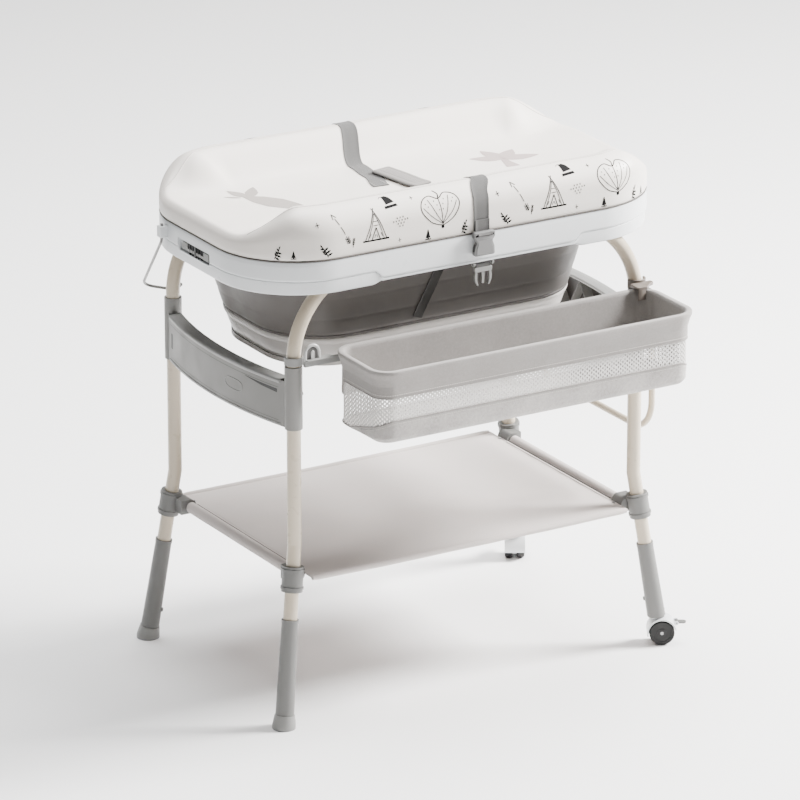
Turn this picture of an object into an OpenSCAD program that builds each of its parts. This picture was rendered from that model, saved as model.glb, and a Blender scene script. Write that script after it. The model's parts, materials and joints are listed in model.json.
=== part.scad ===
// Nappy changing table with a collapsible bath tub, a padded mat, a side basket and a shelf.
// Millimetres, +Z up, X along the table's length, the user stands at -Y.
// The origin is the middle of the bounding box, on the floor. The lengths below are laid out
// about the middle of the table top, and in_place() moves them to the origin.

/* [Table top] */
// Length of the table top
top_l = 850; // [845:1:855]
// Width of the table top
top_w = 480; // [476:1:484]
// Corner radius of the table top
top_r = 155; // [152:1:158]
// Height of the rim's upper face
rim_top_z = 840; // [838:1:842]
// Height of the mat's bolsters above the floor
crest_z = 927; // [915:1:940]

/* [Legs] */
// Outer diameter of the steel leg tubes
tube_d = 25; // [24:0.5:25.5]
// Wall of the leg tubes
tube_wall = 1.2; // [0.8:0.1:2]
// Half the distance between the legs along the length
leg_x = 350; // [348:1:352]
// Half the distance between the legs across the width
leg_y = 215; // [213:1:216]
// Outward lean of each foot along the length
splay_x = 42; // [36:1:46]
// Outward lean of each foot across the width
splay_y = 33; // [28:1:36]
// Height at which the lower leg starts to lean
kink_z = 325; // [315:1:335]
// Height at which the tube starts to arch in under the rim
arch_z = 660; // [656:1:664]
// Radius of that arch
arch_r = 160; // [156:1:163]
// Diameter of the foot pads
foot_d = 42; // [36:1:46]

/* [Tub] */
// Length of the tub's mouth
tub_l = 690; // [680:1:694]
// Width of the tub's mouth
tub_w = 380; // [370:1:384]
// Height of the tub's underside with the tub open
tub_floor_z = 614; // [606:1:622]

/* [Basket] */
// Length of the basket
basket_l = 655; // [560:5:660]
// Depth of the basket
basket_w = 170; // [150:1:180]
// Height of the basket
basket_h = 135; // [125:1:140]
// Height of the basket's upper edge
basket_top_z = 682; // [676:1:686]

/* [Shelf and rails] */
// Height of the shelf clamps' middle
shelf_z = 264; // [258:1:270]
// Diameter of the towel rail
rail_d = 12; // [10:0.5:13]
// Height of the towel rail's lower bar
rail_low_z = 384; // [370:1:400]
// Width of the strap
strap_w = 31; // [28:1:36]

/* [Hidden] */
$fn = 64;
e = 0.01;
gap = 0.3;                    // clearance between pieces that move
fit = 0.05;                   // clearance between pieces that are fixed together

table_x = 2;                  // from the middle of the box to the middle of the table top
table_y = 55.5;
tube_r = tube_d / 2;

// the leaning lower leg
lean = atan(norm([splay_x, splay_y]) / kink_z);
sleeve_top_z = 192;
sleeve_end_z = [23, 52];      // left legs stand on pads, right legs on casters
button_rise = 34;
sleeve_r_top = 14.8;
sleeve_r_end = 16.6;

// end plates
plate_low_z = 541;
plate_top_z = 625;
plate_bulge = 28;
plate_sleeve_z = [539, 653];
plate_sleeve_r = 15.75;
plate_x = leg_x + 12;         // outer face at the legs
plate_r = (leg_y * leg_y + plate_bulge * plate_bulge) / (2 * plate_bulge);
plate_flange = 24;

// rim
rim_wall = 3;
rim_step_z = 805;             // where the upper tier meets the lower one
rim_end_z = 780;              // lower edge at the ends and corners
rim_mid_z = 788;              // lower edge along the middle of the long sides
tub_r = 145;

// tub
tub_x = -17;                  // the tub sits off the middle, towards the latch
tub_ring_z = [622, 668];
tub_ring_top = [618, 336, 125];
tub_ring_end = [584, 312, 112];

// casters
wheel_r = 23;
caster_yaw = [-30, 60];       // front, back

// basket
basket_x = 37.5;
basket_back_y = -233;
basket_r = 40;

// towel rail
rail_x = 400;
rail_y = 195;
rail_pivot_z = 575;

// wire hanger
hang_x = -433;
hang_y = 100;
wire_r = 2;
strap_x = 10;

function side_name(sx) = sx < 0 ? 0 : 1;
function leg_azimuth(sx, sy) = atan2(sy * splay_y, sx * splay_x);
function leg_point(sx, sy, z) =
  [sx * (leg_x + splay_x * (kink_z - z) / kink_z), sy * (leg_y + splay_y * (kink_z - z) / kink_z), z];
function along_leg(z) = -(kink_z - z) / cos(lean);

// the mat's upper surface across the width, mirrored about the middle
mat_z0 = rim_top_z + gap;
channel_z = 876;
function smooth(t) = t * t * (3 - 2 * t);
function ease(v, a, b) = smooth(min(1, max(0, (v - a) / (b - a))));
function bolster_z(y) = channel_z + (crest_z - channel_z) * ease(y, 105, 190);
mat_half = concat(
  [for (y = [0, 60]) [y, channel_z]],
  [for (y = [105 : 8.5 : 190]) [y, bolster_z(y)]],
  [for (a = [75 : -15 : 0]) [195 + 45 * cos(a), crest_z - 45 + 45 * sin(a)]],
  [[top_w / 2, mat_z0 + 14], [top_w / 2 - 3, mat_z0 + 5], [top_w / 2 - 9, mat_z0]]
);

module in_place() translate([table_x, table_y, 0]) children();

// frame at the kink of one leg, with -Z down the leaning tube and -X towards the table's middle
module on_leg(sx, sy) {
  translate([sx * leg_x, sy * leg_y, kink_z]) rotate([0, 0, leg_azimuth(sx, sy)])
    rotate([0, -lean, 0]) children();
}

module pipe(r, wall, h) {
  difference() {
    cylinder(r = r, h = h);
    translate([0, 0, -e]) cylinder(r = r - wall, h = h + 2 * e);
  }
}

// block with rounded upright corners, centred on X and Y
module slab(l, w, r, h) {
  translate([-l / 2, -w / 2 + r, 0]) cube([l, w - 2 * r, h]);
  translate([-l / 2 + r, -w / 2, 0]) cube([l - 2 * r, w, h]);
  for (x = [-1, 1], y = [-1, 1])
    translate([x * (l / 2 - r), y * (w / 2 - r), 0]) cylinder(r = r, h = h);
}

module slab_ring(l, w, r, wall, h) {
  difference() {
    slab(l, w, r, h);
    translate([0, 0, -e]) slab(l - 2 * wall, w - 2 * wall, r - wall, h + 2 * e);
  }
}

// the same block with a larger top than bottom
module flared_slab(low, high, h) {
  hull() for (x = [-1, 1], y = [-1, 1]) {
    translate([x * (low[0] / 2 - low[2]), y * (low[1] / 2 - low[2]), 0])
      cylinder(r = low[2], h = 0.1, $fn = 48);
    translate([x * (high[0] / 2 - high[2]), y * (high[1] / 2 - high[2]), h - 0.1])
      cylinder(r = high[2], h = 0.1, $fn = 48);
  }
}

module flared_shell(low, high, wall, h) {
  difference() {
    flared_slab(low, high, h);
    translate([0, 0, -0.2]) flared_slab(
      [low[0] - 2 * wall, low[1] - 2 * wall, low[2] - wall],
      [high[0] - 2 * wall, high[1] - 2 * wall, high[2] - wall], h + 0.4);
  }
}

// ---- legs ----

// the whole run of one leg as a solid rod, from inside the sleeve to under the rim
module leg_run(sx, sy, r, past) {
  end_d = -along_leg(sleeve_end_z[side_name(sx)] + 24) + past;
  on_leg(sx, sy) translate([0, 0, -end_d]) cylinder(r = r, h = end_d);
  translate([sx * leg_x, sy * leg_y, kink_z]) {
    sphere(r = r);
    cylinder(r = r, h = arch_z - kink_z);
  }
  mirror([sx < 0 ? 1 : 0, 0, 0]) {
    translate([leg_x - arch_r, sy * leg_y, arch_z]) rotate([90, 0, 0])
      rotate_extrude(angle = 90) translate([arch_r, 0]) circle(r = r);
    translate([leg_x - arch_r - 45 - past, sy * leg_y, arch_z + arch_r]) rotate([0, 90, 0])
      cylinder(r = r, h = 45 + past);
  }
}

module leg_tube(sx, sy) {
  color([0.86, 0.82, 0.75]) in_place() difference() {
    leg_run(sx, sy, tube_r, 0);
    leg_run(sx, sy, tube_r - tube_wall, 1);
  }
}

module leg_sleeve(sx, sy) {
  side = side_name(sx);
  end_z = sleeve_end_z[side];
  d0 = along_leg(sleeve_top_z);
  d1 = along_leg(end_z);
  foot = leg_point(sx, sy, end_z);
  color([0.62, 0.62, 0.61]) in_place() difference() {
    union() {
      on_leg(sx, sy) {
        translate([0, 0, d1]) cylinder(r1 = sleeve_r_end, r2 = sleeve_r_top, h = d0 - d1 - 6);
        translate([0, 0, d0 - 6]) cylinder(r = sleeve_r_top + 0.5, h = 6);
      }
      if (side == 1) translate([foot[0], foot[1], end_z - 1]) cylinder(r = 15, h = 14);
    }
    on_leg(sx, sy) {
      translate([0, 0, along_leg(end_z + 18)]) cylinder(r = tube_r + gap, h = 300);
      translate([0, 0, along_leg(end_z + button_rise)]) rotate([0, -90, 0]) cylinder(r = 4 + gap, h = 40);
    }
    if (side == 1) {
      translate([foot[0], foot[1], end_z - 2]) cylinder(r = 4 + gap, h = 16);
      translate([foot[0] - 40, foot[1] - 40, end_z - 31]) cube([80, 80, 30]);
    }
  }
}

module snap_button(sx, sy) {
  color([0.78, 0.78, 0.77]) in_place() on_leg(sx, sy)
    translate([0, 0, along_leg(sleeve_end_z[side_name(sx)] + button_rise)]) rotate([0, -90, 0]) {
      translate([0, 0, tube_r + 2.1]) cylinder(r = 4, h = 3.2);
      translate([0, 0, tube_r + 5.3]) cylinder(r1 = 4, r2 = 2.6, h = 1.2);
    }
}

module foot_pad(sx, sy) {
  color([0.55, 0.55, 0.54]) in_place() intersection() {
    on_leg(sx, sy) translate([0, 0, along_leg(sleeve_end_z[0]) - 40])
      cylinder(r1 = foot_d / 2 + 4, r2 = 18, h = 40 - fit);
    translate([sx * (leg_x + splay_x), sy * (leg_y + splay_y), 0]) cylinder(r = foot_d / 2, h = 40);
  }
}

// ---- end plates ----

// section of an end plate, turned about the centre of the plate's curve
module plate_sweep(half) {
  translate([plate_x + plate_bulge - plate_r, 0, 0]) rotate([0, 0, -half])
    rotate_extrude(angle = 2 * half, $fn = 180) children();
}

// channel section with its open side towards the table's middle
module plate_channel() {
  skin = plate_r - 3;
  inner = plate_r - plate_flange;
  polygon([
    [inner, plate_low_z], [plate_r, plate_low_z], [plate_r, plate_top_z], [inner, plate_top_z],
    [inner, plate_top_z - 4], [skin, plate_top_z - 4], [skin, plate_low_z + 4], [inner, plate_low_z + 4]
  ]);
}

module end_plate(sx) {
  half = asin(leg_y / plate_r);
  mid_z = (plate_low_z + plate_top_z) / 2;
  pitch = 47;
  color([0.66, 0.66, 0.65]) in_place() mirror([sx < 0 ? 1 : 0, 0, 0]) difference() {
    union() {
      plate_sweep(half) plate_channel();
      intersection() {
        plate_sweep(half - 0.6) translate([plate_r - plate_flange + 2, plate_low_z + 1])
          square([plate_flange - 3, plate_top_z - plate_low_z - 2]);
        for (i = [-4 : 3]) translate([leg_x - 40, (i + 0.5) * pitch, mid_z])
          rotate([i % 2 == 0 ? 31 : -31, 0, 0]) translate([0, -1, -60]) cube([100, 2, 120]);
      }
      for (y = [-1, 1]) translate([leg_x, y * leg_y, plate_sleeve_z[0]])
        cylinder(r = plate_sleeve_r, h = plate_sleeve_z[1] - plate_sleeve_z[0]);
    }
    for (y = [-1, 1]) {
      translate([leg_x, y * leg_y, plate_sleeve_z[0] - 1]) cylinder(r = tube_r + fit, h = 130);
      translate([leg_x - 30, y * leg_y, 600]) rotate([0, 90, 0]) cylinder(r = 2, h = 20);
    }
  }
}

module plate_screws() {
  color([0.5, 0.5, 0.5]) in_place() for (sx = [-1, 1], sy = [-1, 1])
    mirror([sx < 0 ? 1 : 0, 0, 0]) translate([leg_x - tube_r - fit, sy * leg_y, 600]) rotate([0, -90, 0]) {
      translate([0, 0, fit]) cylinder(r = 2 - fit, h = 5);
      translate([0, 0, plate_sleeve_r - tube_r]) difference() {
        cylinder(r1 = 4, r2 = 3.4, h = 2);
        translate([0, 0, 1]) cylinder(r = 1.7, h = 2, $fn = 6);
      }
    }
}

// ---- shelf ----

shelf_rail_x = 340;
shelf_rail_r = 8;
shelf_half_y = 236;

module shelf_clamp(sx, sy) {
  p = leg_point(sx, sy, shelf_z);
  color([0.6, 0.6, 0.59]) in_place() difference() {
    union() {
      on_leg(sx, sy) translate([0, 0, along_leg(shelf_z) - 22.5]) {
        cylinder(r = 19, h = 45);
        for (z = [5, 37]) translate([0, 0, z]) cylinder(r = 20.5, h = 4);
      }
      translate([min(sx * shelf_rail_x, p[0]), p[1] - sy * 26 - 16, shelf_z - 13])
        cube([abs(p[0] - sx * shelf_rail_x), 32, 26]);
      translate([sx * shelf_rail_x, p[1] - sy * 26 - 16, shelf_z]) rotate([-90, 0, 0])
        cylinder(r = 13, h = 32);
    }
    on_leg(sx, sy) translate([0, 0, along_leg(shelf_z) - 60]) cylinder(r = tube_r + fit, h = 130);
    translate([sx * shelf_rail_x, -p[1] / abs(p[1]) * e + p[1] - sy * 44, shelf_z])
      rotate([-90 * sy, 0, 0]) cylinder(r = shelf_rail_r + fit, h = 30);
    translate([p[0] - sx * 40, p[1] - sy * 26, shelf_z]) rotate([0, sx * 90, 0])
      translate([0, 0, 5]) cylinder(r = 2, h = 16);
  }
}

module at_clamp_screws() {
  for (sx = [-1, 1], sy = [-1, 1]) {
    p = leg_point(sx, sy, shelf_z);
    translate([p[0] - sx * 35.5, p[1] - sy * 26, shelf_z]) rotate([0, -sx * 90, 0]) children();
  }
}

module clamp_screws() {
  color([0.5, 0.5, 0.5]) in_place() at_clamp_screws() difference() {
    cylinder(r1 = 4.2, r2 = 3.4, h = 2.2);
    translate([0, 0, 1.2]) cylinder(r = 1.8, h = 2, $fn = 6);
  }
}

module shelf_rail(sx) {
  end_y = leg_point(sx, 1, shelf_z)[1] - 16;
  color([0.68, 0.68, 0.67]) in_place()
    translate([sx * shelf_rail_x, -end_y, shelf_z]) rotate([-90, 0, 0]) pipe(shelf_rail_r, 1.2, 2 * end_y);
}

module shelf_panel() {
  pocket_y = leg_point(1, 1, shelf_z)[1] - 46;
  inner_x = shelf_rail_x - 14;
  color([0.83, 0.82, 0.8]) in_place() difference() {
    union() {
      translate([-inner_x, -shelf_half_y, shelf_z - 3]) cube([2 * inner_x, 2 * shelf_half_y, 6]);
      for (y = [-1, 1]) translate([-inner_x, y * shelf_half_y, shelf_z]) rotate([0, 90, 0])
        cylinder(r = 7, h = 2 * inner_x);
      translate([-shelf_rail_x, -pocket_y, shelf_z - 3]) cube([2 * shelf_rail_x, 2 * pocket_y, 6]);
      for (x = [-1, 1]) translate([x * shelf_rail_x, -pocket_y, shelf_z]) rotate([-90, 0, 0])
        cylinder(r = 11, h = 2 * pocket_y);
    }
    for (x = [-1, 1]) translate([x * shelf_rail_x, -pocket_y - 1, shelf_z]) rotate([-90, 0, 0])
      cylinder(r = shelf_rail_r + fit, h = 2 * pocket_y + 2);
    at_clamp_screws() cylinder(r = 4.4, h = 2.4);
  }
}

// ---- rim ----

latch_z = [797, 824];
latch_y = 58;

module rim() {
  color([0.91, 0.92, 0.93]) in_place() difference() {
    union() {
      translate([0, 0, rim_step_z]) slab_ring(top_l, top_w, top_r, rim_wall, rim_top_z - rim_step_z);
      translate([0, 0, rim_step_z - 1]) slab_ring(top_l, top_w, top_r, 2 * rim_wall, 3);
      translate([0, 0, rim_end_z]) slab_ring(top_l - 6, top_w - 6, top_r - 3, rim_wall, rim_step_z - rim_end_z);
      translate([0, 0, rim_top_z - 4]) slab_ring(top_l, top_w, top_r, (top_w - tub_w) / 2, 4);
      translate([tub_x, 0, rim_top_z - 56]) slab_ring(tub_l + 6, tub_w + 6, tub_r + 3, 3, 56);
      translate([0, 0, rim_top_z - 4]) difference() {
        slab(top_l, top_w, top_r, 4);
        translate([tub_x, 0, -1]) slab(tub_l, tub_w, tub_r, 6);
      }
    }
    for (y = [-1, 1]) translate([0, y * top_w / 2, rim_mid_z]) rotate([90, 0, 0])
      linear_extrude(40, center = true) polygon([[-205, -20], [-175, 0], [195, 0], [225, -20]]);
    translate([-top_l / 2 - 5, -latch_y, latch_z[0]]) cube([12, 2 * latch_y, latch_z[1] - latch_z[0]]);
  }
}

module tube_saddles() {
  color([0.62, 0.62, 0.61]) in_place() for (sx = [-1, 1], sy = [-1, 1])
    translate([sx * (leg_x - arch_r - 25), sy * leg_y, arch_z + arch_r]) difference() {
      translate([-14, -17, -17]) cube([28, 34, rim_top_z - 4 - fit - arch_z - arch_r + 17]);
      translate([-15, 0, 0]) rotate([0, 90, 0]) cylinder(r = tube_r + fit, h = 30);
      translate([0, 0, -18]) cylinder(r = 2, h = 8);
    }
}

module saddle_screws() {
  color([0.45, 0.45, 0.45]) in_place() for (sx = [-1, 1], sy = [-1, 1])
    translate([sx * (leg_x - arch_r - 25), sy * leg_y, arch_z + arch_r - 17]) {
      cylinder(r = 2 - fit, h = 4);
      translate([0, 0, -2.2]) difference() {
        cylinder(r1 = 3.4, r2 = 4.2, h = 2.2);
        translate([0, 0, -1]) cylinder(r = 1.8, h = 2, $fn = 6);
      }
    }
}

module latch_housing() {
  color([0.22, 0.22, 0.22]) in_place() translate([-top_l / 2 + 3.2, 0, 0]) difference() {
    translate([-2.5, -latch_y + fit, latch_z[0] + fit]) cube([24, 2 * latch_y - 2 * fit, latch_z[1] - latch_z[0] - 2 * fit]);
    translate([-5, -latch_y + 3, latch_z[0] + 3]) cube([23, 2 * latch_y - 6, latch_z[1] - latch_z[0] - 6]);
    translate([8, -latch_y - 1, latch_z[1] - 7]) rotate([-90, 0, 0]) cylinder(r = 1.6, h = 2 * latch_y + 2);
  }
}

module rim_lever() {
  color([0.8, 0.8, 0.79]) in_place() translate([-top_l / 2 + 11.2, 0, latch_z[1] - 7]) {
    rotate([-90, 0, 0]) translate([0, 0, -latch_y + 1]) cylinder(r = 1.5, h = 2 * latch_y - 2);
    for (y = [-1, 1]) translate([-8, y * 38 - 9, -13]) {
      cube([3, 18, 12.5]);
      translate([0, 0, 10.5]) cube([8, 18, 2.5]);
    }
    translate([-8, -30, -12.5]) cube([2.5, 60, 5]);
  }
}

// ---- tub ----

module tub_wall() {
  top = [tub_l - 0.6, tub_w - 0.6, tub_r - 0.3];
  color([0.54, 0.52, 0.51]) in_place() {
    translate([tub_x, 0, tub_ring_z[1] + fit]) flared_shell(tub_ring_top, top, 3, 786 - tub_ring_z[1]);
  }
}

module tub_ring() {
  color([0.84, 0.83, 0.82]) in_place()
    translate([tub_x, 0, tub_ring_z[0]]) flared_shell(tub_ring_end, tub_ring_top, 3, tub_ring_z[1] - tub_ring_z[0]);
}

drain_x = -190;

module tub_floor() {
  h = tub_ring_z[0] - tub_floor_z - fit;
  color([0.8, 0.8, 0.79]) in_place() translate([tub_x, 0, tub_floor_z]) difference() {
    slab(tub_ring_end[0] + 4, tub_ring_end[1] + 4, tub_ring_end[2] + 2, h);
    translate([drain_x, 0, -1]) cylinder(r = 17, h = h + 2);
    translate([0, 0, -1]) slab(420, 180, 60, 3);
  }
}

module drain_plug() {
  color([0.45, 0.46, 0.47]) in_place() translate([tub_x + drain_x, 0, tub_floor_z]) {
    translate([0, 0, 2]) cylinder(r = 17 - gap, h = tub_ring_z[0] - tub_floor_z - 1.7);
    translate([0, 0, tub_ring_z[0] - tub_floor_z + gap - e]) cylinder(r1 = 24, r2 = 22, h = 4);
    translate([0, 0, tub_ring_z[0] - tub_floor_z + 4]) rotate([90, 0, 0])
      translate([0, 8, -2]) rotate_extrude() translate([7, 0]) circle(r = 1.8, $fn = 24);
  }
}

// ---- mat ----

module mat_outline(inset, z0, h) {
  translate([0, 0, z0]) slab(top_l - 2 * inset, top_w - 2 * inset, top_r - inset, h);
}

module mat_section() {
  polygon(concat(
    [for (i = [len(mat_half) - 1 : -1 : 1]) [-mat_half[i][0], mat_half[i][1]]],
    mat_half));
}

module mat_pad() {
  color([0.95, 0.94, 0.92]) in_place() difference() {
    intersection() {
      rotate([90, 0, 90]) linear_extrude(top_l, center = true) mat_section();
      mat_outline(0, mat_z0 - 1, 100);
    }
    mat_outline(20, mat_z0 + 4, 8.2);
  }
}

module mat_board() {
  color([0.8, 0.75, 0.66]) in_place() mat_outline(20.1, mat_z0 + 4.1, 8);
}

// strap laid along the mat's surface, between two places in its half section
function strap_run(first, last, lift) =
  [for (i = [first : last]) let (
      a = mat_half[i - 1], b = mat_half[min(i + 1, len(mat_half) - 1)],
      t = (b - a) / norm(b - a))
    mat_half[i] + lift * [-t[1], t[0]]];
function flipped(run) = [for (i = [len(run) - 1 : -1 : 0]) run[i]];

module strap_strip(first, last) {
  low = strap_run(first, last, 0.8);
  high = strap_run(first, last, 3);
  linear_extrude(strap_w, center = true) polygon(concat(low, flipped(high)));
}

mat_last = len(mat_half) - 3;

module strap_front() {
  color([0.62, 0.62, 0.63]) in_place() translate([strap_x, 0, 0]) mirror([0, 1, 0])
    rotate([90, 0, 90]) strap_strip(4, mat_last);
}

module strap_back() {
  color([0.62, 0.62, 0.63]) in_place() translate([strap_x, 0, 0]) rotate([90, 0, 90])
    strap_strip(2, mat_last);
}

module strap_pad() {
  color([0.7, 0.7, 0.71]) in_place() translate([strap_x - 18, -4, channel_z + 3.4]) rotate([0, 0, 10])
    slab(42, 118, 6, 6);
}

buckle_y = -top_w / 2 - 3.4;

module buckle_socket() {
  color([0.7, 0.7, 0.71]) in_place() translate([strap_x, buckle_y - 12, 0]) difference() {
    translate([-22, 0, 800]) cube([44, 12, 48]);
    translate([-17, 2.5, 799]) cube([34, 7, 30]);
    translate([-12, -1, 806]) cube([24, 5, 14]);
    translate([-18.5, 3, 838]) cube([37, 6, 5]);
  }
}

plug_pivot = [strap_x + 10, -top_w / 2 + 6.4, rim_mid_z - 6];

module webbing_anchor() {
  color([0.62, 0.62, 0.63]) in_place() translate([plug_pivot[0], plug_pivot[1], plug_pivot[2] - 8])
    for (x = [-1, 1]) translate([x * 19 - 2, 0, 0]) difference() {
      union() {
        translate([0, 2 * rim_wall - 6.4 + fit, 8]) cube([4, 6, 40]);
        translate([0, 0, 8]) rotate([0, 90, 0]) cylinder(r = 4, h = 4);
      }
      translate([-1, 0, 8]) rotate([0, 90, 0]) cylinder(r = 1.5 + gap, h = 6);
    }
}

module buckle_plug() {
  color([0.72, 0.72, 0.73]) in_place() translate(plug_pivot) {
    translate([-20.5, 0, 0]) rotate([0, 90, 0]) cylinder(r = 1.5, h = 41);
    translate([-16, -1.5, -7]) cube([32, 3, 7]);
    translate([-18, -3, -15]) cube([36, 6, 8]);
    for (x = [-1, 1]) translate([x * 13 - 3, -2.5, -41]) cube([6, 5, 26.5]);
    translate([-2, -2, -38]) cube([4, 4, 23.5]);
  }
}

// ---- basket ----

basket_low_z = basket_top_z - basket_h;
basket_mid_y = basket_back_y - basket_w / 2;
band_z = basket_top_z - 52;
tray_z = basket_low_z + 42;

module at_basket(z) translate([basket_x, basket_mid_y, z]) children();

module basket_band() {
  color([0.68, 0.67, 0.66]) in_place() at_basket(band_z) difference() {
    slab_ring(basket_l, basket_w, basket_r, 9, basket_top_z - band_z);
    translate([0, 0, -1]) slab_ring(basket_l - 5, basket_w - 5, basket_r - 2.5, 6, 36);
    translate([0, 0, 34.9]) slab_ring(basket_l - 5, basket_w - 5, basket_r - 2.5, 4.2, 9.2);
  }
}

module basket_hoop() {
  color([0.5, 0.5, 0.5]) in_place() at_basket(band_z + 36) 
    slab_ring(basket_l - 5.2, basket_w - 5.2, basket_r - 2.6, 4, 8);
}

module basket_mesh() {
  color([0.93, 0.93, 0.92]) in_place() at_basket(tray_z + fit)
    slab_ring(basket_l - 22, basket_w - 22, basket_r - 11, 1.5, band_z - tray_z + 6);
}

module basket_tray() {
  color([0.75, 0.74, 0.73]) in_place() at_basket(basket_low_z) difference() {
    slab(basket_l - 18, basket_w - 18, basket_r - 9, tray_z - basket_low_z);
    translate([0, 0, 3]) slab(basket_l - 25, basket_w - 25, basket_r - 12.5, tray_z);
  }
}

cradle_z = [656, 676];

// half-round cradle that snaps on to a leg from the front
module cradle(x) {
  translate([x, -leg_y, cradle_z[0]]) difference() {
    union() {
      cylinder(r = 17.5, h = cradle_z[1] - cradle_z[0]);
      translate([-17.5, -24, 0]) cube([35, 24, cradle_z[1] - cradle_z[0]]);
    }
    translate([0, 0, -1]) cylinder(r = tube_r + 1.1, h = 60);
    translate([-40, 0, -1]) cube([80, 40, 60]);
  }
}

module basket_bracket_left() {
  x0 = basket_x - basket_l / 2;
  color([0.72, 0.72, 0.72]) in_place() {
    difference() {
      union() {
        cradle(-leg_x);
        translate([-leg_x + 6, basket_back_y - 10, cradle_z[0]]) cube([x0 + leg_x - 6 + 60, 9.8, 20]);
        translate([-leg_x + 36, basket_back_y - 0.7, cradle_z[0] + 20]) rotate([90, 0, 0]) cylinder(r = 16, h = 8.8);
      }
      translate([-leg_x + 36, basket_back_y + 1, cradle_z[0] + 20]) rotate([90, 0, 0]) cylinder(r = 9, h = 14);
      at_basket(band_z - 1) slab(basket_l + 0.2, basket_w + 0.2, basket_r + 0.1, 80);
    }
  }
}

module basket_clip_right() {
  color([0.62, 0.62, 0.62]) in_place() difference() {
    cradle(leg_x);
    at_basket(band_z - 1) slab(basket_l + 0.2, basket_w + 0.2, basket_r + 0.1, 80);
    translate([leg_x - 30, -leg_y - 40, cradle_z[0] + 7]) cube([22, 60, 6]);
  }
}

// ---- casters ----

hood_r = 27;
brake_at = [27, 16];           // brake pivot, out from the wheel axle and up

// frame at one caster's wheel axle, with the stem on -X
module at_caster(sy) {
  p = leg_point(1, sy, sleeve_end_z[1]);
  translate([p[0], p[1], 0]) rotate([0, 0, caster_yaw[side_name(sy)]]) translate([10, 0, wheel_r]) children();
}

module caster_housing(sy) {
  color([0.9, 0.9, 0.89]) in_place() at_caster(sy) difference() {
    union() {
      rotate([90, 0, 0]) translate([0, 0, -3]) cylinder(r = 17, h = 6);
      difference() {
        rotate([90, 0, 0]) translate([0, 0, -19]) cylinder(r = hood_r, h = 38);
        rotate([90, 0, 0]) translate([0, 0, -3 - 17]) cylinder(r = hood_r - 2.5, h = 16.9);
        rotate([90, 0, 0]) translate([0, 0, 3.1]) cylinder(r = hood_r - 2.5, h = 16.9);
        translate([0, -30, -60 + 6]) cube([80, 60, 60]);
        translate([-40, -30, -60 - 6]) cube([40.1, 60, 60]);
      }
      translate([-10, 0, 18]) cylinder(r = 4, h = 21);
      translate([-10, 0, wheel_r + 0.4]) cylinder(r = 9, h = sleeve_end_z[1] - 2 * wheel_r - 1.9);
      for (y = [-1, 1]) translate([brake_at[0], y * 8.2 + 1, brake_at[1]]) rotate([90, 0, 0]) {
        cylinder(r = 3.4, h = 2);
        translate([-5, -3, 0]) cube([5, 6, 2]);
      }
    }
    rotate([90, 0, 0]) translate([0, 0, -30]) cylinder(r = 3 + gap, h = 60);
    translate([brake_at[0], 0, brake_at[1]]) rotate([90, 0, 0]) translate([0, 0, -20])
      cylinder(r = 1.2 + gap / 2, h = 40);
  }
}

module caster_wheels(sy) {
  color([0.06, 0.06, 0.06]) in_place() at_caster(sy) for (y = [-1, 1])
    translate([0, y * 11.2, 0]) rotate([90, 0, 0]) translate([0, 0, -7]) difference() {
      union() {
        translate([0, 0, 2]) cylinder(r = wheel_r, h = 10);
        cylinder(r1 = wheel_r - 2, r2 = wheel_r, h = 2);
        translate([0, 0, 12]) cylinder(r1 = wheel_r, r2 = wheel_r - 2, h = 2);
      }
      translate([0, 0, -1]) cylinder(r = 3 + fit, h = 16);
      if (y < 0) translate([0, 0, 13]) rotate_extrude() translate([8, 0]) square([9, 2]);
      if (y > 0) translate([0, 0, -1]) rotate_extrude() translate([8, 0]) square([9, 2]);
    }
}

module caster_axle(sy) {
  color([0.6, 0.6, 0.6]) in_place() at_caster(sy) rotate([90, 0, 0]) translate([0, 0, -18]) cylinder(r = 3, h = 36);
}

module brake_tab(sy) {
  color([0.6, 0.6, 0.6]) in_place() at_caster(sy) translate([brake_at[0], 0, brake_at[1]]) {
    rotate([90, 0, 0]) translate([0, 0, -6.8]) cylinder(r = 2.6, h = 13.6);
    rotate([90, 0, 0]) translate([0, 0, -9.2]) cylinder(r = 1.2, h = 18.4);
    translate([0, -6, -1.5]) cube([11, 12, 3]);
    translate([11, 0, -1.5]) cylinder(r = 6, h = 3);
  }
}

// ---- towel rail ----

module rail_brackets() {
  color([0.6, 0.6, 0.59]) in_place() for (y = [-1, 1]) difference() {
    union() {
      translate([plate_x - 10, y * 181 - 6, rail_pivot_z - 11]) cube([rail_x - plate_x + 10, 12, 22]);
      translate([rail_x, y * 181, rail_pivot_z]) rotate([90, 0, 0]) translate([0, 0, -6]) cylinder(r = 11, h = 12);
      translate([rail_x, y * 195, rail_pivot_z]) rotate([90, 0, 0]) translate([0, 0, -9]) cylinder(r = 3, h = 18);
    }
    translate([plate_x + plate_bulge - plate_r, 0, 500]) cylinder(r = plate_r + fit, h = 200, $fn = 180);
  }
}

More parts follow.
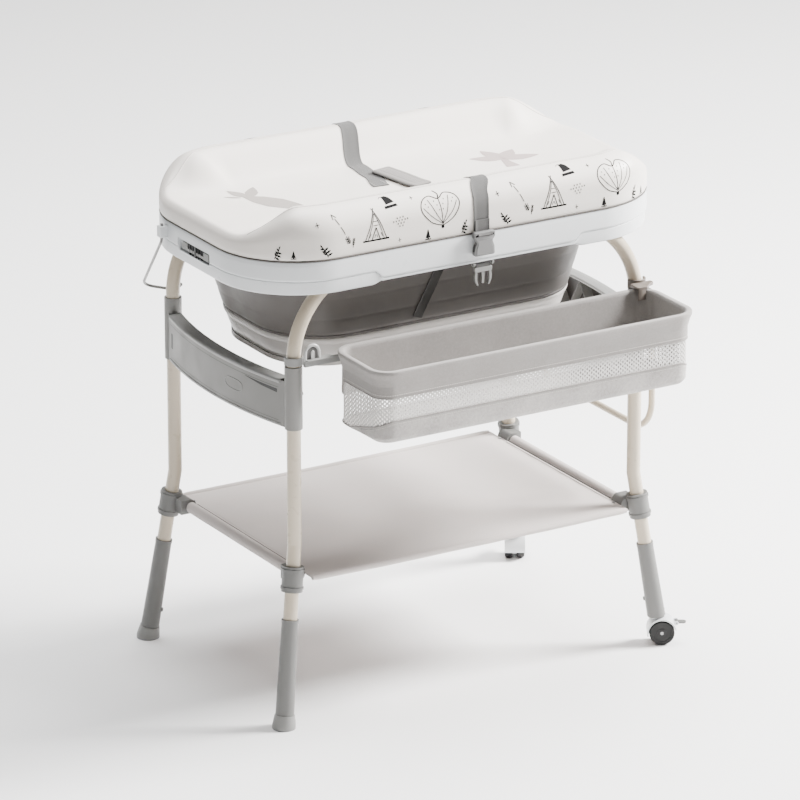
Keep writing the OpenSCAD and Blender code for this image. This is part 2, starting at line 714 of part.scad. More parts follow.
module towel_rail() {
  r = rail_d / 2;
  bend = 60;
  color([0.87, 0.83, 0.76]) in_place() {
    for (y = [-1, 1]) {
      translate([rail_x, y * rail_y, rail_pivot_z]) rotate([90, 0, 0]) translate([0, 0, -7]) difference() {
        cylinder(r = 8, h = 14);
        translate([0, 0, -1]) cylinder(r = 3 + gap, h = 16);
      }
      translate([rail_x, y * rail_y, rail_low_z + bend])
        cylinder(r = r, h = rail_pivot_z - 6 - rail_low_z - bend);
      translate([rail_x, y * (rail_y - bend), rail_low_z + bend]) rotate([y > 0 ? 0 : 180, 90, 0])
        rotate_extrude(angle = 90) translate([bend, 0]) circle(r = r);
    }
    translate([rail_x, -rail_y + bend, rail_low_z]) rotate([-90, 0, 0])
      cylinder(r = r, h = 2 * (rail_y - bend));
  }
}

// ---- wire hanger ----

hanger_path = [[hang_x, hang_y, 806], [-386, 262, 668], [-322, 244, 652]];

module hanger_boss() {
  color([0.8, 0.8, 0.8]) in_place() difference() {
    translate([hang_x - 6, hang_y - 7, 812]) cube([30, 14, 20]);
    translate([hang_x, hang_y, 800]) cylinder(r = wire_r + gap, h = 60);
    translate([0, 0, 780]) slab(top_l + 0.1, top_w + 0.1, top_r, 80);
  }
}

module wire_run(a, b) {
  d = b - a;
  translate(a) rotate([0, acos(d[2] / norm(d)), atan2(d[1], d[0])]) cylinder(r = wire_r, h = norm(d), $fn = 24);
}

module wire_hanger() {
  color([0.55, 0.55, 0.54]) in_place() {
    wire_run(hanger_path[0], [hang_x, hang_y, 834]);
    translate([hang_x, hang_y, 832 + gap]) cylinder(r = 4, h = 3);
    for (i = [0 : 1]) wire_run(hanger_path[i], hanger_path[i + 1]);
    for (i = [0 : 1]) translate(hanger_path[i]) sphere(r = wire_r + 0.15, $fn = 24);
    translate(hanger_path[2]) sphere(r = 4.5, $fn = 32);
  }
}

leg_tube(-1, -1);  // leg_tube_fl
leg_tube(1, -1);  // leg_tube_fr
leg_tube(-1, 1);  // leg_tube_bl
leg_tube(1, 1);  // leg_tube_br
end_plate(-1);  // end_plate_left
end_plate(1);  // end_plate_right
plate_screws();
shelf_clamp(-1, -1);  // shelf_clamp_fl
shelf_clamp(1, -1);  // shelf_clamp_fr
shelf_clamp(-1, 1);  // shelf_clamp_bl
shelf_clamp(1, 1);  // shelf_clamp_br
clamp_screws();
shelf_rail(-1);  // shelf_rail_left
shelf_rail(1);  // shelf_rail_right
shelf_panel();
rim();
tube_saddles();
saddle_screws();
latch_housing();
rim_lever();
tub_wall();
tub_ring();
tub_floor();
drain_plug();
mat_board();
mat_pad();
strap_front();
strap_back();
strap_pad();
buckle_socket();
webbing_anchor();
buckle_plug();
basket_band();
basket_hoop();
basket_mesh();
basket_tray();
basket_bracket_left();
basket_clip_right();
leg_sleeve(-1, -1);  // leg_sleeve_fl
leg_sleeve(1, -1);  // leg_sleeve_fr
leg_sleeve(-1, 1);  // leg_sleeve_bl
leg_sleeve(1, 1);  // leg_sleeve_br
snap_button(-1, -1);  // snap_button_fl
snap_button(1, -1);  // snap_button_fr
snap_button(-1, 1);  // snap_button_bl
snap_button(1, 1);  // snap_button_br
foot_pad(-1, -1);  // foot_pad_fl
foot_pad(-1, 1);  // foot_pad_bl
caster_housing(-1);  // caster_housing_fr
caster_housing(1);  // caster_housing_br
caster_wheels(-1);  // caster_wheels_fr
caster_wheels(1);  // caster_wheels_br
caster_axle(-1);  // caster_axle_fr
caster_axle(1);  // caster_axle_br
brake_tab(-1);  // brake_tab_fr
brake_tab(1);  // brake_tab_br
rail_brackets();
towel_rail();
hanger_boss();
wire_hanger();
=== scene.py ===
"""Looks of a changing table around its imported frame.

Lengths are millimetres about the middle of the table top, as in the part's own source, and at()
turns them into the frame's metres. The user stands at -Y.
"""

import json
import math

import bmesh
import bpy
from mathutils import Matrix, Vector, noise


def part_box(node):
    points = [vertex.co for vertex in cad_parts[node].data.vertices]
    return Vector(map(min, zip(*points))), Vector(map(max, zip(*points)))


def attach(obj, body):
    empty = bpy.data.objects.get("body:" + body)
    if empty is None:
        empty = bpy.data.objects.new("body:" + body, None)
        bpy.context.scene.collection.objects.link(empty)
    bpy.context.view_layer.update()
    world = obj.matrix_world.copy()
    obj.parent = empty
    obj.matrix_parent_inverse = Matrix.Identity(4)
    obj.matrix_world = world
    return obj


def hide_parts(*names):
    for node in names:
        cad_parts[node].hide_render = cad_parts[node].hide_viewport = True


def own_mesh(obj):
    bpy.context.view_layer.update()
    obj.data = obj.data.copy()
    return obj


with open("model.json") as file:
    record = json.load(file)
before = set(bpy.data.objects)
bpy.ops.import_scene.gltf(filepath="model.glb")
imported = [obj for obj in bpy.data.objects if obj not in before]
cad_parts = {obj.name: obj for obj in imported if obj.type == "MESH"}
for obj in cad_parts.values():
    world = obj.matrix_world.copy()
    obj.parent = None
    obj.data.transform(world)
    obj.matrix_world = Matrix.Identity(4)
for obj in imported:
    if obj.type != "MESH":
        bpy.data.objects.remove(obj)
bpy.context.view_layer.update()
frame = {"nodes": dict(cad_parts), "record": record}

MM = 0.001
rim_low, rim_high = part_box("rim")
MIDDLE = (rim_low + rim_high) / 2


def at(x, y, z):
    return Vector((MIDDLE.x + x * MM, MIDDLE.y + y * MM, z * MM))


def upright(x, z, y):
    """Place of a drawing that stands in the XZ plane."""
    return at(x, y, z)


def ease(v, a, b):
    """Rises smoothly from 0 to 1 while v goes from a to b."""
    t = min(1.0, max(0.0, (v - a) / (b - a)))
    return t * t * (3 - 2 * t)


def wobble(x, y, z):
    """Smooth noise between about -1 and 1."""
    return noise.noise(Vector((x, y, z)))


# ---- materials ----


def linear(rgb):
    """Linear colour of an sRGB colour given from 0 to 255."""
    shares = [v / 255 for v in rgb]
    return tuple(c / 12.92 if c <= 0.04045 else ((c + 0.055) / 1.055) ** 2.4 for c in shares)


def shade(rgb, share):
    return tuple(min(1.0, c * share) for c in rgb)


class Nodes:
    """A material's node tree, with short calls for the nodes it uses."""

    def __init__(self, name):
        self.material = bpy.data.materials.new(name)
        self.material.use_nodes = True
        self.tree = self.material.node_tree
        self.shader = self.tree.nodes["Principled BSDF"]
        self.coords = self.add("ShaderNodeTexCoord")

    def add(self, kind, **settings):
        node = self.tree.nodes.new(kind)
        for key, value in settings.items():
            setattr(node, key, value)
        return node

    def join(self, source, target):
        self.tree.links.new(source, target)

    def noise(self, scale, detail=2.0, rough=0.5):
        node = self.add("ShaderNodeTexNoise")
        for name, value in (("Scale", scale), ("Detail", detail), ("Roughness", rough)):
            node.inputs[name].default_value = value
        self.join(self.coords.outputs["Object"], node.inputs["Vector"])
        return node.outputs["Fac"]

    def math(self, kind, *values):
        node = self.add("ShaderNodeMath", operation=kind)
        for value, socket in zip(values, node.inputs):
            if isinstance(value, (int, float)):
                socket.default_value = value
            else:
                self.join(value, socket)
        return node.outputs[0]

    def blend(self, a, b, share):
        """share of a with the rest of b."""
        return self.math("ADD", self.math("MULTIPLY", a, share), self.math("MULTIPLY", b, 1 - share))

    def parts(self, space):
        """X, Y and Z of a coordinate space."""
        node = self.add("ShaderNodeSeparateXYZ")
        self.join(self.coords.outputs[space], node.inputs[0])
        return node.outputs

    def spread(self, value, low, high, start=0.0, end=1.0):
        node = self.add("ShaderNodeMapRange")
        self.join(value, node.inputs["Value"])
        for name, v in (("From Min", start), ("From Max", end), ("To Min", low), ("To Max", high)):
            node.inputs[name].default_value = v
        return node.outputs["Result"]

    def colours(self, factor, a, b):
        node = self.add("ShaderNodeMix", data_type="RGBA")
        self.join(factor, node.inputs["Factor"])
        for value, socket in ((a, node.inputs["A"]), (b, node.inputs["B"])):
            if isinstance(value, tuple):
                socket.default_value = (*value, 1)
            else:
                self.join(value, socket)
        return node.outputs["Result"]

    def paint(self, colour):
        self.join(colour, self.shader.inputs["Base Color"])

    def tint(self, factor, rgb, dark, light):
        """Paints with a colour that goes from a dark to a light share of itself."""
        base = linear(rgb)
        self.paint(self.colours(factor, shade(base, dark), shade(base, light)))

    def gloss(self, scale, detail, low, high):
        """Uneven roughness."""
        self.join(self.spread(self.noise(scale, detail), low, high, 0.3, 0.7),
                  self.shader.inputs["Roughness"])

    def bump(self, height, strength, distance):
        node = self.add("ShaderNodeBump")
        node.inputs["Strength"].default_value = strength
        node.inputs["Distance"].default_value = distance
        self.join(height, node.inputs["Height"])
        self.join(node.outputs["Normal"], self.shader.inputs["Normal"])

    def set(self, **values):
        for name, value in values.items():
            self.shader.inputs[name.replace("_", " ")].default_value = value


def finish(name, rgb, tone, gloss, grain, **shader):
    """A hard finish. tone and gloss are noise scale, detail, low, high; grain ends in strength and depth."""
    n = Nodes(name)
    n.tint(n.noise(*tone[:2]), rgb, *tone[2:])
    n.gloss(*gloss)
    n.bump(n.noise(*grain[:-2]), *grain[-2:])
    n.set(**shader)
    return n.material


def moulded(name, rgb, rough=0.42, grain=0.25, coat=0.0):
    """Moulded plastic: fine spark-eroded grain, slight cloudiness and uneven gloss."""
    return finish(name, rgb, (9, 3, 0.93, 1.05), (26, 4, rough - 0.07, rough + 0.09),
                  (1500, 2, grain, 0.0002), Specular_IOR_Level=0.45, Coat_Weight=coat, Coat_Roughness=0.25)


def painted(name, rgb, rough=0.3):
    """Powder-coated steel: orange-peel bump under a thin gloss."""
    return finish(name, rgb, (6, 3, 0.95, 1.04), (60, 3, rough - 0.06, rough + 0.1),
                  (700, 3, 0.6, 0.12, 0.0004), Coat_Weight=0.25, Coat_Roughness=0.2)


def bare_metal(name, rgb, rough=0.3):
    return finish(name, rgb, (80, 4, 0.8, 1.1), (240, 3, rough - 0.1, rough + 0.15), (1800, 2, 0.15, 0.0002),
                  Metallic=1.0)


def rubbery(name, rgb, rough=0.5):
    return finish(name, rgb, (7, 3, 0.92, 1.07), (20, 3, rough - 0.08, rough + 0.1), (900, 2, 0.2, 0.0003),
                  Specular_IOR_Level=0.4)


def moulded_inner_shade(name, rgb, inside):
    """Moulded plastic with painted shade: darker on the faces that look towards the middle of the table,
    where they lie in shadow.
    """
    n = Nodes(name)
    # the faces turned towards the middle take the darker colour as painted shade
    shaded_faces = n.math("LESS_THAN", n.math("MULTIPLY", n.parts("Object")[0], n.parts("Normal")[0]), -0.2)
    base = linear(rgb)
    plain = n.colours(n.noise(9, 3), shade(base, 0.93), shade(base, 1.05))
    n.paint(n.colours(shaded_faces, plain, linear(inside)))
    n.gloss(26, 4, 0.35, 0.51)
    n.bump(n.noise(1500, 2), 0.25, 0.0002)
    return n.material


def thread_waves(n, pitch):
    """The two thread directions' waves and the height of their plain weave, from the piece's own metres."""
    places = n.parts("UV")
    waves = [n.math("SINE", n.math("MULTIPLY", places[i], math.tau / pitch)) for i in (0, 1)]
    return waves, n.spread(n.math("MULTIPLY", *waves), 0.0, 1.0, -1.0, 1.0)


def woven(name, rgb, pitch, depth=0.35, heather=0.10, yarn_scale=420):
    """Woven cloth: over-and-under threads, heathered yarn and a soft sheen."""
    n = Nodes(name)
    mixed = n.blend(thread_waves(n, pitch)[1], n.noise(yarn_scale, 3, 0.6), 0.5)
    cloud = n.blend(mixed, n.noise(12, 3), 0.65)
    n.tint(n.spread(cloud, 0, 1, 0.25, 0.75), rgb, 1 - heather, 1 + heather)
    n.bump(mixed, depth, 0.0006)
    n.set(Roughness=0.85, Sheen_Weight=0.25, Sheen_Roughness=0.5, Specular_IOR_Level=0.25)
    return n.material


def webbing(name, rgb, pitch=0.0016):
    """Ribbed strap webbing: raised rows across it, with twilled yarn in each row."""
    n = Nodes(name)
    waves, height = thread_waves(n, pitch)
    mixed = n.blend(n.spread(waves[1], 0, 1, -1, 1), height, 0.6)
    n.tint(mixed, rgb, 0.78, 1.12)
    n.bump(mixed, 0.6, 0.0007)
    n.set(Roughness=0.7, Sheen_Weight=0.2, Specular_IOR_Level=0.3)
    return n.material


def netting(name, rgb, pitch):
    """Warp-knit net: round holes in staggered rows, cut out of a thin pale cloth."""
    n = Nodes(name)
    places = n.parts("UV")
    row = n.math("MULTIPLY", places[1], math.tau / (pitch * math.sqrt(3)))
    column = n.math("MULTIPLY", places[0], math.tau / pitch)
    staggered = n.math("MULTIPLY", n.math("COSINE", row), n.math("COSINE", n.math("MULTIPLY", column, 0.5)))
    field = n.math("ADD", n.math("MULTIPLY", staggered, 2.0), n.math("COSINE", column))
    solid = n.spread(field, 1.0, 0.0, 0.15, 0.75)
    n.tint(n.noise(300, 2), rgb, 0.92, 1.04)
    n.join(n.math("MINIMUM", n.math("MAXIMUM", solid, 0.0), 1.0), n.shader.inputs["Alpha"])
    n.bump(solid, 0.3, 0.0005)
    n.set(Roughness=0.8, Sheen_Weight=0.2)
    return n.material


def vinyl(name, rgb):
    """Coated mat cover: faint leather grain under a soft shine."""
    n = Nodes(name)
    grain = n.add("ShaderNodeTexVoronoi", feature="SMOOTH_F1")
    grain.inputs["Scale"].default_value = 700
    n.join(n.coords.outputs["Object"], grain.inputs["Vector"])
    n.tint(n.noise(5, 3), rgb, 0.97, 1.02)
    n.gloss(18, 3, 0.36, 0.5)
    n.bump(grain.outputs["Distance"], 0.10, 0.0003)
    n.set(Specular_IOR_Level=0.4, Coat_Weight=0.12, Coat_Roughness=0.3)
    return n.material


def printed_ink(name, rgb):
    n = Nodes(name)
    n.tint(n.noise(900, 3, 0.7), rgb, 0.8, 1.25)
    n.bump(n.noise(700, 2), 0.08, 0.0002)
    n.set(Roughness=0.8, Specular_IOR_Level=0.15)
    return n.material


steel_cream = painted("steel_cream", (196, 183, 162))
steel_wire = painted("steel_wire", (96, 95, 93))
bright_wire = painted("bright_wire", (180, 180, 178))
steel_screw = bare_metal("steel_screw", (150, 150, 150))
plastic_grey = moulded("plastic_grey", (110, 110, 108))
plastic_pale_grey = moulded("plastic_pale_grey", (138, 138, 136))
plastic_white = moulded("plastic_white", (222, 225, 227), rough=0.33, grain=0.12, coat=0.15)
plastic_light = moulded("plastic_light", (190, 186, 182), rough=0.4)
# plastic_dark also serves as painted shade in the latch pocket, the buckle's mouth and the end plates' slots
plastic_dark = moulded("plastic_dark", (46, 46, 46), rough=0.5)
# a lighter copy of the end plates' grey: painted highlight on their raised edges and badge
plastic_edge_highlight = moulded("plastic_edge_highlight", (150, 150, 148))
plastic_brown_grey = moulded("plastic_brown_grey", (112, 104, 97))
# dark grey lines: painted shade in the end plates' border grooves
groove_shade_grey = moulded("groove_shade_grey", (76, 76, 74))
hook_grey = moulded("hook_grey", (92, 91, 90), rough=0.3)
buckle_grey = moulded("buckle_grey", (112, 112, 112), rough=0.36)
# the end plates' grey, with painted shade on their inward faces
plate_grey_inner_shade = moulded_inner_shade("plate_grey_inner_shade", (124, 123, 120), (46, 42, 39))
tub_rubber = rubbery("tub_rubber", (86, 82, 79))
# dark band laid on the tub's front wall as a painted cast shadow
shadow_strip_rubber = rubbery("shadow_strip_rubber", (48, 46, 44), rough=0.6)
plug_rubber = rubbery("plug_rubber", (112, 114, 116))
wheel_black = rubbery("wheel_black", (9, 9, 9), rough=0.55)
mat_vinyl = vinyl("mat_vinyl", (228, 222, 215))
shelf_cloth = woven("shelf_cloth", (194, 186, 182), 0.0018, heather=0.05, depth=0.25)
board_fibre = woven("board_fibre", (196, 180, 150), 0.004, heather=0.12)
seam_thread = woven("seam_thread", (205, 200, 194), 0.0010, heather=0.08)
piping_cloth = woven("piping_cloth", (206, 201, 196), 0.0010, heather=0.05)
dark_binding = woven("dark_binding", (84, 79, 76), 0.0010, heather=0.08)
pad_cloth = woven("pad_cloth", (118, 114, 111), 0.0014, heather=0.08)
basket_cloth = woven("basket_cloth", (140, 136, 133), 0.0016, heather=0.26, yarn_scale=260)
melange_cloth = woven("melange_cloth", (162, 158, 155), 0.0016, heather=0.6, yarn_scale=210)
binding_cloth = woven("binding_cloth", (132, 128, 125), 0.0010, heather=0.08)
grey_webbing = webbing("grey_webbing", (77, 76, 75))
basket_net = netting("basket_net", (206, 203, 200), 0.0046)
ink_dark = printed_ink("ink_dark", (8, 8, 9))
ink_line = printed_ink("ink_line", (14, 12, 12))
ink_grey = printed_ink("ink_grey", (150, 144, 139))
ink_blush = printed_ink("ink_blush", (162, 150, 147))


# ---- mesh helpers ----

# A shape is vertices, faces and each face's corner UVs, the UVs in metres.


def piece(name, shape, body, material, slot, replaces=(), sharp=35, edge=None):
    """A mesh piece in the frame, riding on a body. edge is the width and segments of its bevel."""
    vertices, faces, uvs = shape
    mesh = bpy.data.meshes.new(name)
    mesh.from_pydata(vertices, [], faces)
    layer = mesh.uv_layers.new(name="metres")
    layer.data.foreach_set("uv", [v for face in uvs for uv in face for v in uv])
    mesh.materials.append(material)
    obj = bpy.data.objects.new(name, mesh)
    bpy.context.scene.collection.objects.link(obj)
    with_bmesh(mesh, outward)
    smooth(mesh, sharp)
    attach(obj, body)
    if replaces:
        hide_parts(*replaces)
    if edge:
        bevel = obj.modifiers.new("round", "BEVEL")
        bevel.width = edge[0] * MM
        bevel.segments = edge[1]
        bevel.limit_method = "ANGLE"
        bevel.angle_limit = math.radians(35)
    return obj


def with_bmesh(mesh, work):
    bm = bmesh.new()
    bm.from_mesh(mesh)
    work(bm)
    bm.to_mesh(mesh)
    bm.free()


def outward(bm):
    bmesh.ops.recalc_face_normals(bm, faces=bm.faces)


def close_and_weld(obj, distance=0.0002):
    """Joins points that meet and closes what is left open."""
    def work(bm):
        bmesh.ops.remove_doubles(bm, verts=bm.verts, dist=distance)
        bmesh.ops.holes_fill(bm, edges=[e for e in bm.edges if e.is_boundary], sides=0)
        outward(bm)
    with_bmesh(obj.data, work)


def smooth(mesh, sharp):
    for polygon in mesh.polygons:
        polygon.use_smooth = True
    mesh.set_sharp_from_angle(angle=math.radians(sharp))


def cut(obj, body, *shapes):
    """Takes the shapes out of obj, after its other modifiers."""
    cutters = [piece("cutter", shape, body, plastic_dark, "plastic_dark") for shape in shapes]
    for cutter in cutters:
        m = obj.modifiers.new("cut", "BOOLEAN")
        m.operation = "DIFFERENCE"
        m.solver = "EXACT"
        m.object = cutter
    graph = bpy.context.evaluated_depsgraph_get()
    made = bpy.data.meshes.new_from_object(obj.evaluated_get(graph), depsgraph=graph)
    obj.modifiers.clear()
    obj.data = made
    for cutter in cutters:
        bpy.data.objects.remove(cutter)
    smooth(made, 35)


def loop_points(l, w, r, sides=(60, 18), corner=12):
    """Places and outward normals round a rounded rectangle, from its front left corner."""
    found = []
    hx, hy = l / 2 - r, w / 2 - r
    runs = [((-hx, -w / 2, hx, -w / 2), (hx, -hy)), ((l / 2, -hy, l / 2, hy), (hx, hy)),
            ((hx, w / 2, -hx, w / 2), (-hx, hy)), ((-l / 2, hy, -l / 2, -hy), (-hx, -hy))]
    for k, ((x0, y0, x1, y1), (cx, cy)) in enumerate(runs):
        start = math.radians(-90 + 90 * k)
        count = sides[k % 2]
        for i in range(count):
            t = i / count
            found.append((x0 + (x1 - x0) * t, y0 + (y1 - y0) * t, math.cos(start), math.sin(start)))
        for i in range(corner):
            a = start + math.radians(90 * i / corner)
            found.append((cx + r * math.cos(a), cy + r * math.sin(a), math.cos(a), math.sin(a)))
    return found


def carried(loop, profile, centre=(0, 0)):
    """Rings of a profile carried round a loop; profile gives the (outward, z) points at a place."""
    each = [profile(x, y) for x, y, _, _ in loop]
    return [[at(centre[0] + x + nx * line[j][0], centre[1] + y + ny * line[j][0], line[j][1])
             for (x, y, nx, ny), line in zip(loop, each)] for j in range(len(each[0]))]


def patch(u0, u1, v0, v1):
    return (u0, v0), (u1, v0), (u1, v1), (u0, v1)


def bands(count, rows, closed=False):
    """Place, ring and corners of each face between rings of count points."""
    for j in range(rows if closed else rows - 1):
        k = (j + 1) % rows
        for i in range(count):
            m = (i + 1) % count
            yield i, j, (j * count + i, j * count + m, k * count + m, k * count + i)


def skin(rings, around, along, closed=False, caps=False):
    """Shape of a skin over rings; around and along are the lengths its UVs take."""
    count, rows = len(rings[0]), len(rings)
    faces, uvs = [], []
    for i, j, face in bands(count, rows, closed):
        faces.append(face)
        uvs.append(patch(around[i], around[i + 1], along[j], along[j + 1]))
    if caps:
        faces += [tuple(range(row * count, (row + 1) * count)) for row in (0, rows - 1)]
        uvs += [((0.0, 0.0),) * count] * 2
    return [p for ring in rings for p in ring], faces, uvs


def lengths_along(points):
    found = [0.0]
    for a, b in zip(points, points[1:]):
        found.append(found[-1] + (b - a).length)
    return found


def loft(rings, closed=False, caps=False):
    """Skin over rings that all have the same number of points; closed joins the last ring to the first."""
    count = len(rings[0])
    around = [0.0]
    for i in range(count):
        around.append(around[-1] + max((r[(i + 1) % count] - r[i]).length for r in (rings[0], rings[-1])))
    return skin(rings, around, lengths_along([ring[0] for ring in rings] + [rings[0][0]]), closed, caps)


def fillet(corners, steps=4, closed=False):
    """A line through (x, y, radius) corners, each rounded."""
    line = []
    last = len(corners) - 1
    for i, (x, y, r) in enumerate(corners):
        if r <= 0 or (not closed and i in (0, last)):
            line.append((x, y))
            continue
        p = Vector((x, y))
        back = Vector(corners[i - 1][:2]) - p
        on = Vector(corners[(i + 1) % len(corners)][:2]) - p
        cut_back = min(r / max(math.tan(back.angle(on) / 2), 1e-3), 0.48 * back.length, 0.48 * on.length)
        line += [(q.x, q.y) for q in turned_corner(p, back, on, cut_back, steps)]
    return line


def turned_corner(p, back, on, cut_back, steps):
    """Points of the curve that rounds the corner p between the directions back and on."""
    start, end = p + back.normalized() * cut_back, p + on.normalized() * cut_back
    return [start * (1 - t) ** 2 + p * (2 * t * (1 - t)) + end * t * t
            for t in (k / steps for k in range(steps + 1))]


def outline(corners, steps=4):
    return fillet(corners, steps, closed=True)


def oblong(x0, y0, x1, y1, radii, steps=4):
    """Outline of a rounded rectangle; radii is one for all corners or one for each."""
    radii = radii if isinstance(radii, tuple) else (radii,) * 4
    return outline([(x, y, r) for (x, y), r in zip(((x0, y0), (x1, y0), (x1, y1), (x0, y1)), radii)], steps)


def tube_mesh(path, radius, sides=10, caps=True):
    """Shape of a round bar along a path; radius is a number or one for each point."""
    radii = [r * MM for r in radius] if isinstance(radius, list) else [radius * MM] * len(path)
    last = len(path) - 1
    tangents = [(path[min(i + 1, last)] - path[max(i - 1, 0)]).normalized() for i in range(last + 1)]
    side = tangents[0].orthogonal().normalized()
    rings = []
    for p, t, r in zip(path, tangents, radii):
        side = (side - t * side.dot(t)).normalized()
        up = t.cross(side)
        turns = [math.tau * k / sides for k in range(sides)]
        rings.append([p + (side * math.cos(a) + up * math.sin(a)) * r for a in turns])
    around = [math.tau * max(radii) * k / sides for k in range(sides + 1)]
    return skin(rings, around, lengths_along(path), caps=caps)


def merged(parts):
    """One shape from several."""
    vertices, faces, uvs = [], [], []
    for v, f, u in parts:
        start = len(vertices)
        vertices += v
        faces += [tuple(i + start for i in face) for face in f]
        uvs += u
    return vertices, faces, uvs


SPECK = patch(0, 0.001, 0, 0.001)     # UVs of faces too small to show their weave


def plate_mesh(edge, low, high, place):
    """A flat plate with this outline, from low to high along its own Z; place maps its points."""
    count = len(edge)
    vertices = [place(x, y, z) for z in (low, high) for x, y in edge]
    faces = [tuple(range(count)), tuple(range(count, 2 * count))]
    faces += [(i, (i + 1) % count, (i + 1) % count + count, i + count) for i in range(count)]
    return vertices, faces, [tuple((x * MM, y * MM) for x, y in edge)] * 2 + [SPECK] * count


def box_mesh(xs, ys, zs):
    return plate_mesh([(xs[0], ys[0]), (xs[1], ys[0]), (xs[1], ys[1]), (xs[0], ys[1])], zs[0], zs[1], at)


STITCH_SECTION = ((0.0, -0.3), (0.25, 0.8), (0.75, 0.8), (1.0, -0.3))


def stitch_line(points, normals, length=2.6, gap=1.6, width=0.45, lift=0.25):
    """Raised thread stitches along a line of places in millimetres."""
    lengths = lengths_along(points)

    def along(s):
        for i in range(len(points) - 1):
            if lengths[i + 1] >= s:
                t = (s - lengths[i]) / max(lengths[i + 1] - lengths[i], 1e-9)
                return points[i].lerp(points[i + 1], t), normals[i].lerp(normals[i + 1], t).normalized()
        return points[-1], normals[-1]

    parts, travelled = [], 0.0
    while travelled + length < lengths[-1]:
        rows = [(*along(travelled + length * share), rise) for share, rise in STITCH_SECTION]
        direction = (rows[-1][0] - rows[0][0]).normalized()
        vertices = []
        for p, n, rise in rows:
            across = direction.cross(n).normalized() * width
            top = n * (lift * (rise + 0.4) + 0.02)
            vertices += [at(*q) for q in (p - across, p + top, p + across)]
        faces = [(k, k + 1, k + 4, k + 3) for k in (0, 1, 3, 4, 6, 7)]
        parts.append((vertices, faces, [patch(0, 0.0005, 0, 0.0005)] * 6))
        travelled += length + gap
    return merged(parts)


# ---- camera, light and floor ----

AZIMUTH, ELEVATION = math.radians(-30.738), math.radians(19.771)
DISTANCE = 11.322
AIM = (8, 28, 450)


def placed(name, data, place, direction):
    """A camera or light at a place in metres, looking along a direction."""
    obj = bpy.data.objects.new(name, data)
    bpy.context.scene.collection.objects.link(obj)
    obj.location = place
    obj.rotation_mode = "QUATERNION"
    obj.rotation_quaternion = direction.to_track_quat("-Z", "Y")
    return obj


def camera():
    back = Vector((math.sin(AZIMUTH) * math.cos(ELEVATION),
                   -math.cos(AZIMUTH) * math.cos(ELEVATION), math.sin(ELEVATION)))
    data = bpy.data.cameras.new("camera")
    data.lens = 284.6
    data.sensor_width = 36
    data.clip_start = 0.5
    data.clip_end = 200
    bpy.context.scene.camera = placed("camera", data, at(*AIM) + back * DISTANCE, -back)


def area_light(name, place, target, size, power, colour):
    data = bpy.data.lights.new(name, "AREA")
    data.shape = "DISK"
    data.size = size
    data.energy = power
    data.color = colour
    placed(name, data, place, Vector(target) - Vector(place))


def studio():
    world = bpy.data.worlds.new("studio")
    bpy.context.scene.world = world
    world.use_nodes = True
    background = world.node_tree.nodes["Background"]
    background.inputs["Color"].default_value = (1.0, 1.0, 1.0, 1)
    background.inputs["Strength"].default_value = 0.14
    area_light("key", (4.5, -1.3, 3.6), (0, 0, 0.55), 2.0, 1750, (1.0, 0.985, 0.965))
    area_light("top", (0.4, 0.8, 4.6), (0, 0, 0.6), 3.6, 460, (1.0, 1.0, 1.0))
    area_light("edge", (-2.6, 3.2, 2.2), (0, 0, 0.6), 1.6, 10, (0.96, 0.98, 1.0))
    size = 40
    mesh = bpy.data.meshes.new("floor")
    mesh.from_pydata([(x * size, y * size, 0) for x, y in ((-1, -1), (1, -1), (1, 1), (-1, 1))], [],
                     [(0, 1, 2, 3)])
    floor = bpy.data.objects.new("floor", mesh)
    bpy.context.scene.collection.objects.link(floor)
    n = Nodes("studio_floor")
    n.paint(n.colours(n.noise(2, 2), (0.94,) * 3, (0.96,) * 3))
    n.set(Roughness=0.9, Specular_IOR_Level=0.1)
    mesh.materials.append(n.material)


camera()
studio()


# ---- mat ----

TOP = TOP_L, TOP_W, TOP_R = (850, 480, 155)     # outline shared by the mat and the rim
MAT_BASE = 840.3
CHANNEL_T, CREST_T = 36, 86
BOLSTER_DEPTH = (50, 135)     # how far inside the outline the bolsters' inner slope begins and ends
BOLSTER_TURN = (27, 75)       # degrees round each corner over which a bolster runs out
EDGE_R = (14, 45)             # rounding of the mat's edge at the channel's and the bolsters' thickness
SEAM_RISE = 3                 # height of the seam at the foot of the printed faces
STRAP_W = 31


def past_corner(x, y):
    """How far a place is past the corner's centre, along X and Y."""
    return abs(x) - (TOP_L / 2 - TOP_R), abs(y) - (TOP_W / 2 - TOP_R)


def inset_of(x, y):
    """How far a place is inside the mat's outline."""
    qx, qy = past_corner(x, y)
    return TOP_R - math.hypot(max(qx, 0), max(qy, 0)) - min(max(qx, qy), 0)


STRAP_WAY = ((-241, 12), (-232, 15), (-193, 34), (-150, 30), (-60, 8), (-20, -58), (39, -43), (105, -36),
             (193, -8), (241, -2))


def strap_middle(y):
    """X of the strap's middle: it runs a little askew over the mat."""
    for (y0, x0), (y1, x1) in zip(STRAP_WAY, STRAP_WAY[1:]):
        if y <= y1:
            return x0 + (x1 - x0) * ease(y, y0, y1)
    return STRAP_WAY[-1][1]


def bolster_share(x, y):
    """How much of the bolster's height stands here: it follows the outline and runs out round each corner."""
    cx, cy = past_corner(x, y)
    turn = math.degrees(math.atan2(max(cx, 0), max(cy, 1e-3)))
    return (1 - ease(inset_of(x, y), *BOLSTER_DEPTH)) * (1 - ease(turn, *BOLSTER_TURN))


def mat_thickness(x, y):
    return CHANNEL_T + (CREST_T - CHANNEL_T) * bolster_share(x, y)


def edge_radius(thickness):
    return EDGE_R[0] + (EDGE_R[1] - EDGE_R[0]) * (thickness - CHANNEL_T) / (CREST_T - CHANNEL_T)


def ridge(v, middle, width):
    return math.exp(-(((v - middle) / width) ** 2))


